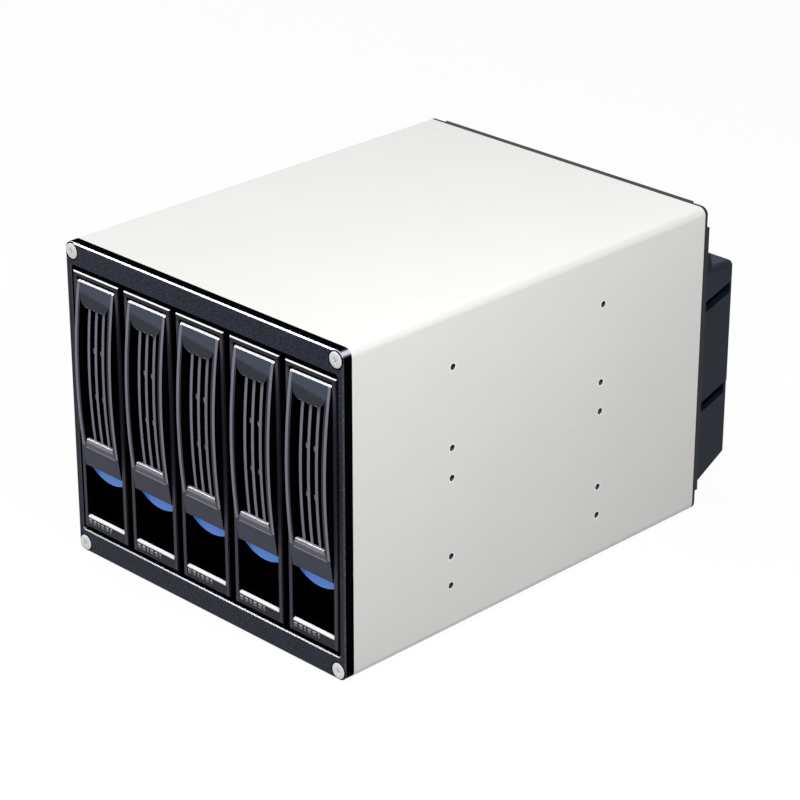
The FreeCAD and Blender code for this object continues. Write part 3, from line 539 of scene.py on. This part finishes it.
def lever_plastic():
    skin = Finish.named("lever_plastic")
    x, y, z = skin.axes()
    across = from_middle(x)
    window, smooth, hollow = lever_parts(skin, across, z, y - lever_face(z))
    edge = skin.edges() * (1 - window)
    grip_top_highlight = z.over(grip_top - BRINK_H) * z.under(grip_top + 0.1) * across.size().under(BRINK_HALF)
    grain = skin.noise(3400, 2.0)
    clouds = skin.noise(70, 3.0)
    above = z - (lever_high - CREASE_H) + across * CREASE_SLOPE
    crease = (above.size() / CREASE_HALF).ramp((0.0, 1.0), (1.0, 0.0))
    frame_tone = skin.mix(grain, colour(30, 34, 45), colour(42, 47, 60))
    plate_painted_light = skin.mix(grain, colour(58, 66, 82), colour(80, 88, 105))
    grip_tone = skin.mix(clouds, colour(54, 57, 74), colour(70, 73, 90))
    # painted light: the plate is painted lighter above its crease, and more so to the right
    tint = skin.mix(above.ramp((-0.7, 0.0), (1.2, 1.0)), frame_tone, plate_painted_light)
    tint = skin.mix(z.under(grip_top + 0.1), tint, grip_tone)
    # painted highlight: a pale band along the grip's top
    tint = skin.mix(grip_top_highlight, tint, colour(112, 111, 122))
    # the strips' and ribs' paler grey is partly their own tone and partly painted sheen
    tint = skin.mix(smooth, tint, colour(138, 136, 155))
    return skin.shaded(hollow, Base_Color=tint,
                       Roughness=0.42 + grain * 0.12 - smooth.larger(edge) * 0.22,
                       Coat_Weight=(smooth * 0.4).larger(edge * 0.55), Coat_Roughness=0.1,
                       Specular_IOR_Level=0.25,
                       Normal=skin.bump(crease, 0.04, skin.bump(grain * (1 - smooth), 0.03)))


lever_black = lever_plastic()


# %% [markdown]
# ## Metals and sheet
# Screws and pins are plated steel, with a fine brushing that only shows in the gloss. A dull
# plating is told from a bright one by its tone, its gloss and how metallic it is. The trays
# and rear plates are steel sheet with a thin black coat, scuffed here and there to grey where
# things have rubbed on it.

# %% Plated metals
def plated(name, dark, light, rough, metallic=1.0):
    metal = Finish.named(name)
    brushed = metal.noise(3000, 2.0, stretch=(1, 0.1, 0.1))
    return metal.surface(Base_Color=metal.mix(brushed, dark, light), Metallic=metallic,
                         Roughness=rough + brushed * 0.12, Normal=metal.bump(brushed, 0.006))


metals = {
    "silver_screw": plated("bright_zinc", colour(225, 225, 226), colour(246, 246, 246), 0.3, 0.5),
    "steel_screw": plated("plain_steel", colour(176, 176, 180), colour(206, 206, 208), 0.3),
    "brass_post": plated("post_brass", colour(190, 160, 90), colour(222, 196, 128), 0.28),
    "black_screw": plated("black_oxide", colour(22, 22, 24), colour(40, 40, 44), 0.36, 0.6),
}


# %% Coated sheets
def coated_sheet(name, dark, light, rough):
    sheet = Finish.named(name)
    grain = sheet.noise(2600, 3.0)
    scuffs = sheet.noise(90, 5.0, 0.7).ramp((0.62, 0.0), (0.75, 1.0))
    tint = sheet.mix(grain, dark, light)
    tint = sheet.mix(scuffs * 0.12, tint, colour(88, 92, 100))
    return sheet.surface(Base_Color=tint, Roughness=rough + grain * 0.15, Specular_IOR_Level=0.25,
                         Normal=sheet.bump(grain, 0.03))


sheets = {
    "tray_sheet": coated_sheet("tray_steel", colour(20, 21, 24), colour(36, 38, 42), 0.38),
    "black_sheet": coated_sheet("rear_sheet", colour(8, 9, 12), colour(20, 22, 28), 0.42),
}


# %% [markdown]
# ## Bright strip
# Under each lever lies a white strip of clear-coated plastic. A faint emission over the nearly
# white plastic is a painted glow, as nothing lights it from inside, and it gives that look without
# lighting its neighbours.

# %% Bright strip
def bright_strip():
    strip = Finish.named("bright_strip")
    brushed = strip.noise(3000, 2.0, stretch=(0.1, 1, 1))
    tint = strip.mix(brushed, colour(246, 246, 248), colour(254, 254, 255))
    # painted glow: the strip's emission stands in for light it does not get
    return strip.surface(Base_Color=tint, Roughness=0.25 + brushed * 0.1, Coat_Weight=0.6,
                         Coat_Roughness=0.1, Emission_Color=WHITE,
                         Emission_Strength=0.25, Normal=strip.bump(brushed, 0.006))


silver_strip = bright_strip()


# %% [markdown]
# ## The board
# A circuit board is glass cloth under green lacquer, with copper tracks that show as paler
# lines. The tracks run mostly upright here, so a stretched noise is cut into bands: every
# band edge becomes a winding line. Nothing has to be drawn.

# %% Board
TRACK_BANDS = 22.0


def board_lacquer():
    board = Finish.named("board_lacquer")
    weave = board.noise(1500, 1.0)
    slow = board.noise(40, 0.0, stretch=(5, 1, 0.5))
    tracks = (slow * TRACK_BANDS).fraction().under(0.3)
    tint = board.mix(weave * 0.5, colour(8, 58, 36), colour(18, 82, 52))
    tint = board.mix(tracks * 0.6, tint, colour(40, 112, 70))
    return board.surface(Base_Color=tint, Roughness=0.28 + weave * 0.1,
                         Normal=board.bump(tracks, 0.03))


green_board = board_lacquer()


# %% [markdown]
# ## Handing the finishes out
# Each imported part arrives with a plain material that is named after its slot. Swapping that
# one material for a written one dresses the whole part and leaves its mesh alone.

# %% Finishes by slot
finishes = {"silver_case": silver_case, "black_bezel": black_bezel, "black_plastic": tray_black,
            "lever": lever_black, "blue_plastic": button_blue, "silver_strip": silver_strip,
            "board": green_board, **mouldings, **metals, **sheets}
for name, part in nodes.items():
    for slot in part.material_slots:
        own = slot.material.name.split(".")[0]
        if name.startswith("lever_") and own == "black_plastic":
            own = "lever"
        slot.material = finishes[own]
print("dressed", len(nodes), "parts in", len(finishes), "finishes")


# %% [markdown]
# ## Edges that catch the light
# No moulded or folded edge is perfectly sharp, and the thin bright line along it is much of
# what makes a black part readable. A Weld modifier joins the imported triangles, and a Bevel
# modifier then rounds only the edges that really turn. The part's own mesh stays as it was.

# %% Soften the edges
def soften(name, width, segments=2, turn=35):
    part = nodes[name]
    weld = part.modifiers.new("weld", "WELD")
    weld.merge_threshold = 0.002 * MM
    bevel = part.modifiers.new("soft_edges", "BEVEL")
    bevel.width = width * MM
    bevel.segments = segments
    bevel.limit_method = "ANGLE"
    bevel.angle_limit = math.radians(turn)
    bevel.use_clamp_overlap = True
    bevel.harden_normals = True


soft_edges = {"fan_hood": 0.3}
for bay in BAYS:
    soft_edges.update({"sill_bar_%d" % bay: 0.15, "release_button_%d" % bay: 0.2})
for name, width in soft_edges.items():
    soften(name, width)
print("softened", len(soft_edges), "parts")


# %% [markdown]
# ## A pencil for meshes
# Small detail is drawn point by point in bmesh: a loop of points, a band of faces from one
# loop to the next, and a cap at each end. `Sketch` holds such a mesh in millimetres and turns
# it into a piece at the end. `solids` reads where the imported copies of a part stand, so that a
# detail lands on every one of them.

# %% Sketch
SHARP_TURN = 32            # degrees; a mesh is smooth where it turns less than this


class Sketch:
    """A mesh under construction, in millimetres."""

    def __init__(self):
        self.mesh = bmesh.new()

    def points(self, places):
        return [self.mesh.verts.new(Vector(place) * MM) for place in places]

    def band(self, first, second):
        """Faces between two loops that have as many points as each other."""
        for here in range(len(first)):
            self.mesh.faces.new((first[here - 1], first[here], second[here], second[here - 1]))

    def tube(self, loops):
        """Bands through a row of loops; gives back the first and the last."""
        rows = [self.points(loop) for loop in loops]
        for first, second in zip(rows, rows[1:]):
            self.band(first, second)
        return rows[0], rows[-1]

    def cap(self, loop):
        self.mesh.faces.new(loop)

    def between(self, outer, inner):
        """Triangles between two loops that have different numbers of points."""
        rims = []
        for loop in (outer, inner):
            for here in range(len(loop)):
                pair = (loop[here - 1], loop[here])
                rims.append(self.mesh.edges.get(pair) or self.mesh.edges.new(pair))
        bmesh.ops.triangle_fill(self.mesh, use_beauty=True, edges=rims)

    def brick(self, low, high, slope):
        """A small block whose upright sides lean in a little, as a moulded one's do."""
        (x0, y0, z0), (x1, y1, z1) = low, high
        foot = [(x0, y1, z0), (x1, y1, z0), (x1, y1, z1), (x0, y1, z1)]
        face = [(x0 + slope, y0, z0 + slope), (x1 - slope, y0, z0 + slope),
                (x1 - slope, y0, z1 - slope), (x0 + slope, y0, z1 - slope)]
        first, last = self.tube([foot, face])
        self.cap(first)
        self.cap(last)

    def piece(self, name, finish, slot, body, *replaced):
        """The finished mesh as a piece that rides on a body."""
        bmesh.ops.recalc_face_normals(self.mesh, faces=self.mesh.faces)
        mesh = bpy.data.meshes.new(name)
        self.mesh.to_mesh(mesh)
        self.mesh.free()
        mesh.shade_smooth()
        mesh.set_sharp_from_angle(angle=math.radians(SHARP_TURN))
        mesh.materials.append(finish)
        made = bpy.data.objects.new(name, mesh)
        bpy.context.scene.collection.objects.link(made)
        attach(made, body)
        if replaced:
            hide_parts(*replaced)
        print(name, "has", len(mesh.polygons), "faces")


print("a pencil for meshes is ready")


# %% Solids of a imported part
def solids(name):
    """The lowest and highest corner, in millimetres, of each separate solid of a node."""
    mesh = bmesh.new()
    mesh.from_mesh(nodes[name].data)
    bmesh.ops.remove_doubles(mesh, verts=mesh.verts, dist=0.001 * MM)
    left = set(mesh.verts)
    found = []
    while left:
        island, reached = set(), [left.pop()]
        while reached:
            vert = reached.pop()
            island.add(vert)
            near = {link.other_vert(vert) for link in vert.link_edges} & left
            left -= near
            reached.extend(near)
        corners = [vert.co / MM for vert in island]
        found.append(tuple(Vector(pick(corner[axis] for corner in corners) for axis in range(3))
                           for pick in (min, max)))
    mesh.free()
    return sorted(found, key=lambda box: (round(box[0].x), round(box[0].z)))


print(len(solids("bezel_screws")), "bezel screws found")


# %% [markdown]
# ## Screws
# A screw is a turned profile, so its rings are stacked along its axis. The thread is one
# continuous ridge: the radius at each point depends on how far it has climbed plus how far it
# has turned, and that alone winds it. The cross in the head needs a flat face with a
# twelve-cornered hole, so the last ring and the cross are joined by a fill.

# %% Rings of a screw
SIDES = 32
CROSS_TURN = 20            # degrees that a cross stands turned by
SHANK_R, NECK_R, TIP_R = 1.48, 1.4, 0.9
THREAD_PITCH, THREAD_DEEP = 0.7, 0.22
PAN_HEAD = ((2.78, 0.0), (2.8, 0.12), (2.78, 0.85), (2.6, 1.28), (2.25, 1.57), (1.75, 1.74),
            (1.5, 1.78))
FLAT_HEAD = ((1.5, 0.0), (2.96, 1.52), (3.0, 1.6), (2.86, 1.72), (2.3, 1.86), (1.5, 1.94))


def ring(x, y, z, radius):
    """Points of a circle round an axis along Y."""
    turns = [math.tau * side / SIDES for side in range(SIDES)]
    return [(x + radius * math.cos(turn), y, z + radius * math.sin(turn)) for turn in turns]


def cross(x, y, z, reach, half):
    """The outline of a cross recess, three corners for each arm."""
    arm = [(reach, -half), (reach, half), (half, half)]
    outline = []
    for quarter in range(4):
        turn = math.radians(90 * quarter + CROSS_TURN)
        outline += [(x + a * math.cos(turn) - b * math.sin(turn), y,
                     z + a * math.sin(turn) + b * math.cos(turn)) for a, b in arm]
    return outline


def thread_ring(x, y, z, along):
    """One ring of a thread's ridge, this far along the shank."""
    places = []
    for side in range(SIDES):
        climbed = (along / THREAD_PITCH + side / SIDES) % 1.0
        radius = SHANK_R - THREAD_DEEP * abs(2 * climbed - 1)
        turn = math.tau * side / SIDES
        places.append((x + radius * math.cos(turn), y, z + radius * math.sin(turn)))
    return places


print("a cross has", len(cross(0, 0, 0, 1, 0.3)), "corners")


# %% One screw
def draw_screw(sketch, x, z, top, inward, length, head, reach):
    """One screw; head is (radius, height) steps from the seat outwards, inward is +1 or -1."""
    seat = top + inward * head[-1][1]
    steps = int(length / (THREAD_PITCH / 4))
    loops = [ring(x, seat + inward * length, z, TIP_R)]
    for step in range(steps, 0, -1):
        along = length * step / steps * 0.985
        loops.append(thread_ring(x, seat + inward * along, z, along))
    loops.append(ring(x, seat + inward * 0.01, z, NECK_R))
    loops += [ring(x, seat - inward * height, z, radius) for radius, height in head]
    tip, face = sketch.tube(loops)
    sketch.cap(tip)
    deep = top + inward * reach * 0.75
    rim, floor = sketch.tube([cross(x, top, z, reach, reach * 0.3),
                              cross(x, deep, z, reach * 0.42, reach * 0.24)])
    sketch.between(face, rim)
    sketch.cap(floor)


def make_screws(name, slot, inward, head, reach, proud=0.0):
    """Detailed screws in the place of a node's plain ones."""
    sketch = Sketch()
    for low, high in solids(name):
        top = (low.y if inward > 0 else high.y) - inward * proud
        length = high.y - low.y - head[-1][1] + proud
        x, z = (low.x + high.x) / 2, (low.z + high.z) / 2
        draw_screw(sketch, x, z, top, inward, length, head, reach)
    sketch.piece(name + "_cross", finishes[slot], slot, "cage", name)


print("a pan head is", PAN_HEAD[-1][1], "mm high")


# %% Every screw of the cage
make_screws("bezel_screws", "silver_screw", 1, FLAT_HEAD, 1.15, proud=0.34)
make_screws("board_screws", "steel_screw", 1, PAN_HEAD, 1.35)
for name in ("rear_screws", "cover_screws", "hood_screws", "fan_screws"):
    make_screws(name, "black_screw", -1, PAN_HEAD, 1.35)


# %% [markdown]
# ## Side holes
# The tube's side holes take screws when the cage is mounted. Each holds a short turned black sleeve
# with the same kind of ridge inside, and the sleeve is painted shade: looking in at an angle shows
# the dark sleeve, standing for the shade in the tapped hole, instead of the bright wall of the
# tube.

# %% Dark sleeves in the side holes
SLEEVE_SIDES = 24
SHADE_SLEEVE = ((0.12, 1.2), (0.12, 1.06), (0.3, 0.9), (0.5, 1.04), (0.7, 0.9), (0.9, 1.04), (1.1, 0.9),
          (1.3, 1.04), (1.45, 1.04), (1.45, 1.2))         # depth and radius


def hole_places():
    """A side's sign and the Y and Z of each of its holes, from the record's mounts."""
    for mount in frame["record"]["mounts"]:
        if "holes" in mount["name"]:
            _, y, z = (place / MM for place in mount["pos_m"])
            dims = mount["dims"]
            rows = (-1, 1) if dims.get("spacing_y_mm") else (0,)
            for row in rows:
                for column in (-1, 1):
                    yield (mount["axis"][0], y + column * dims["spacing_x_mm"] / 2,
                           z + row * dims.get("spacing_y_mm", 0) / 2)


def around(side, x, y, z, radius):
    """Points of a circle round an axis along X."""
    turns = [math.tau * turn / SLEEVE_SIDES for turn in range(SLEEVE_SIDES)]
    return [(side * x, y + radius * math.cos(turn), z + radius * math.sin(turn)) for turn in turns]


shade_sleeves = Sketch()
outside = cad_box[1].x / MM
for side, y, z in hole_places():
    first, last = shade_sleeves.tube([around(side, outside - depth, y, z, radius)
                                for depth, radius in SHADE_SLEEVE])
    shade_sleeves.band(last, first)
shade_sleeves.piece("hole_shade_sleeves", finishes["black_screw"], "black_screw", "cage")


# %% [markdown]
# ## Contacts
# A socket without contacts looks like a slot in a block. Each strip is a thin leaned block
# along the tongue, gilded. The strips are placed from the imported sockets' own boxes.

# %% Socket and plug contacts
SOCKET_CONTACTS = (("data_sockets", 7), ("power_sockets", 15))
SOCKET_END = 3.2           # from a socket's end to its first contact
TONGUE = (2.48, 2.62)      # the contacts' lower and upper face, above the socket's foot
TONGUE_REACH = (4.8, 0.95)
PLUG_CONTACTS = 22
PLUG_END = 3.0
PLUG_WALL = 1.12           # from a plug's middle to the wall of its slot
PLUG_REACH = (0.4, 4.9)
gilding = plated("contact_gold", colour(214, 164, 62), colour(240, 200, 104), 0.2)


def make_contacts():
    """Gilt strips on the rear sockets' tongues and along one wall of each plug's slot."""
    strips = Sketch()
    for name, count in SOCKET_CONTACTS:
        for low, high in solids(name):
            pitch = (high.x - low.x - 2 * SOCKET_END) / (count - 1)
            foot, face = (low.z + height for height in TONGUE)
            near, far = (high.y - reach for reach in TONGUE_REACH)
            for index in range(count):
                x = low.x + SOCKET_END + index * pitch
                strips.brick((x - pitch * 0.3, near, foot), (x + pitch * 0.3, far, face), 0.04)
    for low, high in solids("drive_plugs"):
        wall = (low.x + high.x) / 2 - PLUG_WALL
        near, far = (low.y + reach for reach in PLUG_REACH)
        for index in range(PLUG_CONTACTS):
            span = high.z - low.z - 2 * PLUG_END
            z = low.z + PLUG_END + index * span / (PLUG_CONTACTS - 1)
            strips.brick((wall, near, z - 0.45), (wall + 0.14, far, z + 0.45), 0.04)
    strips.piece("socket_contacts", gilding, "brass_post", "cage")


make_contacts()


# %% [markdown]
# ## Parts on the board
# Each bay's plug has a small chip with leads below it, and a few capacitors and resistors.
# They are low blocks with leaned sides, the shape that all moulded chips have.

# %% Board parts
CHIP_HALF, CHIP_H = 2.0, 1.6
CHIP_LOW, CHIP_TOP = 8.5, 3.5                  # below the plug's foot
LEADS, LEAD_PITCH, LEAD_W = 4, 1.27, 0.4
LEAD_REACH = (1.95, 3.0)                       # from the chip's middle
RESISTORS = (-2.4, 0.0, 2.4)                   # across the board, from the chip's middle
RESISTOR_HALF, RESISTOR_H = 0.6, 0.7
RESISTOR_LOW, RESISTOR_TOP = 11.3, 10.3        # below the plug's foot
END_REACH = (0.58, 0.95)                       # a resistor's metal ends, from its middle
END_PROUD = 0.05


def make_chip(bodies, ends, x, board, z):
    bodies.brick((x - CHIP_HALF, board - CHIP_H, z - CHIP_LOW),
                 (x + CHIP_HALF, board - 0.1, z - CHIP_TOP), 0.2)
    for index in range(LEADS):
        lead = z - CHIP_LOW + 0.5 + index * LEAD_PITCH
        for side in (-1, 1):
            near, far = sorted(x + side * reach for reach in LEAD_REACH)
            ends.brick((near, board - 0.55, lead), (far, board, lead + LEAD_W), 0.05)


def make_resistor(bodies, ends, x, board, z):
    low, high = z - RESISTOR_LOW, z - RESISTOR_TOP
    bodies.brick((x - RESISTOR_HALF, board - RESISTOR_H, low),
                 (x + RESISTOR_HALF, board, high), 0.05)
    for side in (-1, 1):
        near, far = sorted(x + side * reach for reach in END_REACH)
        ends.brick((near, board - RESISTOR_H - END_PROUD, low - END_PROUD),
                   (far, board, high + END_PROUD), 0.05)


chips, leads = Sketch(), Sketch()
for low, high in solids("drive_plugs"):
    middle = (low.x + high.x) / 2
    make_chip(chips, leads, middle, high.y, low.z)
    for place in RESISTORS:
        make_resistor(chips, leads, middle + place, high.y, low.z)
chips.piece("board_chips", finishes["socket_plastic"], "socket_plastic", "cage")
leads.piece("chip_leads", finishes["steel_screw"], "steel_screw", "cage")


# %% [markdown]
# ## Raised dashes on the trays
# Below each finger recess the moulding carries a row of small raised dashes, which a finger
# can feel. They stand less than a fifth of a millimetre proud, inside the bezel's own face.

# %% Dashes
DASHES = (1.8, 1.8, 1.1, 1.8, 1.8, 1.1)
DASH_H, DASH_GAP, DASH_PROUD = 1.8, 0.8, 0.18
# the dashes are moulded a paler grey than the tray
pale_dash_plastic = moulded("pale_dash_plastic", colour(84, 84, 100), colour(132, 132, 148), 0.24)


def make_dashes(bay):
    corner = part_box("sill_bar_%d" % bay)[0]
    left, top = corner.x / MM + 0.3, corner.z / MM - 0.5
    dashes = Sketch()
    for width in DASHES:
        dashes.brick((left, tray_face - DASH_PROUD, top - DASH_H),
                     (left + width, tray_face + 0.05, top), 0.2)
        left += width + DASH_GAP
    dashes.piece("tray_dashes_%d" % bay, pale_dash_plastic, "black_plastic", "tray_%d" % bay)


for bay in BAYS:
    make_dashes(bay)


# %% [markdown]
# ## Crests of the grips
# Above the flat of each grip the moulding leans back in a crest, narrower at the top, and the ribs
# rise from behind it. Its pale grey is painted light on the upward slope. It is a seven-cornered
# profile drawn at both ends and joined. Its top edge is cut off at a slant and painted paler still,
# a painted highlight that gives the edge one thin line of light.

# %% Crest finish
def crest_finish():
    skin = Finish.named("crest_plastic")
    grain = skin.noise(2400, 3.0, 0.7)
    edge = skin.facing()[2].over(0.45)
    coarse = grain.ramp((0.35, 0.0), (0.65, 1.0))
    # painted light: the crest's pale grey stands for the light on its upward slope
    tint = skin.mix(coarse, colour(146, 146, 158), colour(188, 187, 197))
    # painted highlight: the slanted top edge is painted paler still
    return skin.surface(Base_Color=skin.mix(edge, tint, colour(190, 190, 196)),
                        Roughness=0.42 - edge * 0.2, Coat_Weight=edge * 0.45, Coat_Roughness=0.1,
                        Specular_IOR_Level=0.3, Normal=skin.bump(grain * (1 - edge), 0.04))


crest_plastic = crest_finish()


# %% Crests
CREST = ((0.02, -2.3, 8.6), (-0.03, -2.3, 8.6), (0.22, 1.62, 7.3), (0.42, 1.78, 7.2),
         (1.42, 1.78, 7.2), (1.42, -0.04, 7.9), (0.02, -0.04, 7.9))  # depth, height, half width


def make_crest(bay):
    low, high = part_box("lever_%d" % bay)
    middle = (low.x + high.x) / 2 / MM
    crest = Sketch()
    ends = [[(middle + side * half, lever_face(grip_top + up) + depth, grip_top + up)
             for depth, up, half in CREST] for side in (-1, 1)]
    for end in crest.tube(ends):
        crest.cap(end)
    crest.piece("grip_crest_%d" % bay, crest_plastic, "black_plastic", "lever_body_%d" % bay)


for bay in BAYS:
    make_crest(bay)


# %% [markdown]
# ## Floor, room and lamps
# Black plastic shows only what it mirrors, so the room matters as much as the lamps. The room
# is plain white to mirrors and to the camera and dim as a light. The floor is a matt grey that
# glows to the camera and in mirrors, so that it reads as white and still holds a shadow.

# %% Floor
FLOOR_HALF = 4.0           # metres
FLOOR_DROP = 0.2           # millimetres below the cage
FLOOR_GREY = (0.34, 0.34, 0.34, 1)
FLOOR_GLOW = 1.17


def make_floor():
    mesh = bpy.data.meshes.new("floor")
    sheet = bmesh.new()
    bmesh.ops.create_grid(sheet, x_segments=1, y_segments=1, size=FLOOR_HALF)
    sheet.to_mesh(mesh)
    sheet.free()
    floor = bpy.data.objects.new("floor", mesh)
    floor.location.z = cad_box[0].z - FLOOR_DROP * MM
    bpy.context.scene.collection.objects.link(floor)
    pale = Finish.named("pale_floor")
    seen, mirrored = pale.rays()
    matt = pale.node("ShaderNodeBsdfDiffuse", {}, {"Color": FLOOR_GREY})
    glow = pale.node("ShaderNodeEmission", {}, {"Color": WHITE, "Strength": FLOOR_GLOW})
    shine = seen * 0.80 + mirrored * 0.72
    mesh.materials.append(pale.show(
        pale.node("ShaderNodeMixShader", {}, {0: shine, 1: matt, 2: glow})))


make_floor()


# %% Room
ROOM_LIGHT = 0.14          # how strongly the white room lights the cage


def make_room():
    world = bpy.data.worlds.new("white_room")
    bpy.context.scene.world = world
    room = Finish(world)
    seen, mirrored = room.rays()
    strength = ROOM_LIGHT + seen.larger(mirrored) * (1 - ROOM_LIGHT)
    white = room.node("ShaderNodeBackground", {}, {"Color": WHITE, "Strength": strength})
    room.show(white, "ShaderNodeOutputWorld")


make_room()


# %% Lamps
def soft_lamp(name, place, width, watts):
    """A square lamp that faces the cage."""
    lamp = bpy.data.lights.new(name, "AREA")
    lamp.size = width
    lamp.energy = watts
    thing = bpy.data.objects.new(name, lamp)
    thing.location = place
    aim = (cad_box[0] + cad_box[1]) / 2
    thing.rotation_euler = (aim - Vector(place)).to_track_quat("-Z", "Y").to_euler()
    bpy.context.scene.collection.objects.link(thing)
    print(name, "gives", watts, "watts")


soft_lamp("key_lamp", (-0.96, -0.63, 1.02), 0.40, 11)
soft_lamp("top_lamp", (-0.4, 0.15, 1.1), 0.6, 2.0)
soft_lamp("side_lamp", (0.44, -0.14, 0.50), 0.25, 3.2)


# %% [markdown]
# ## Camera
# A long lens from the front right keeps the upright edges nearly parallel. Its turn, lift and
# roll are angles, and its three axes are worked out from them, which says more than a matrix.

# %% Camera
STAND = (717.59, -713.48, 522.34)              # millimetres
TURN, LIFT, ROLL = 44.864, 24.756, 0.040       # degrees
LENS, SENSOR = 131.879, 36


def make_camera():
    turn, lift, roll = (math.radians(angle) for angle in (TURN, LIFT, ROLL))
    level = math.cos(lift)
    ahead = Vector((-math.sin(turn) * level, math.cos(turn) * level, -math.sin(lift)))
    right = Vector((math.cos(turn), math.sin(turn), 0))
    up = right.cross(ahead)
    side = right * math.cos(roll) + up * math.sin(roll)
    top = up * math.cos(roll) - right * math.sin(roll)
    lens = bpy.data.cameras.new("camera")
    lens.sensor_width, lens.lens = SENSOR, LENS
    camera = bpy.data.objects.new("camera", lens)
    turned = Matrix((side, top, -ahead)).transposed().to_4x4()
    camera.matrix_world = Matrix.Translation(Vector(STAND) * MM) @ turned
    bpy.context.scene.collection.objects.link(camera)
    bpy.context.scene.camera = camera
    bpy.context.scene.view_settings.view_transform = "Standard"
    print("camera stands", round(Vector(STAND).length), "mm from the cage's origin")


make_camera()


print("finished")
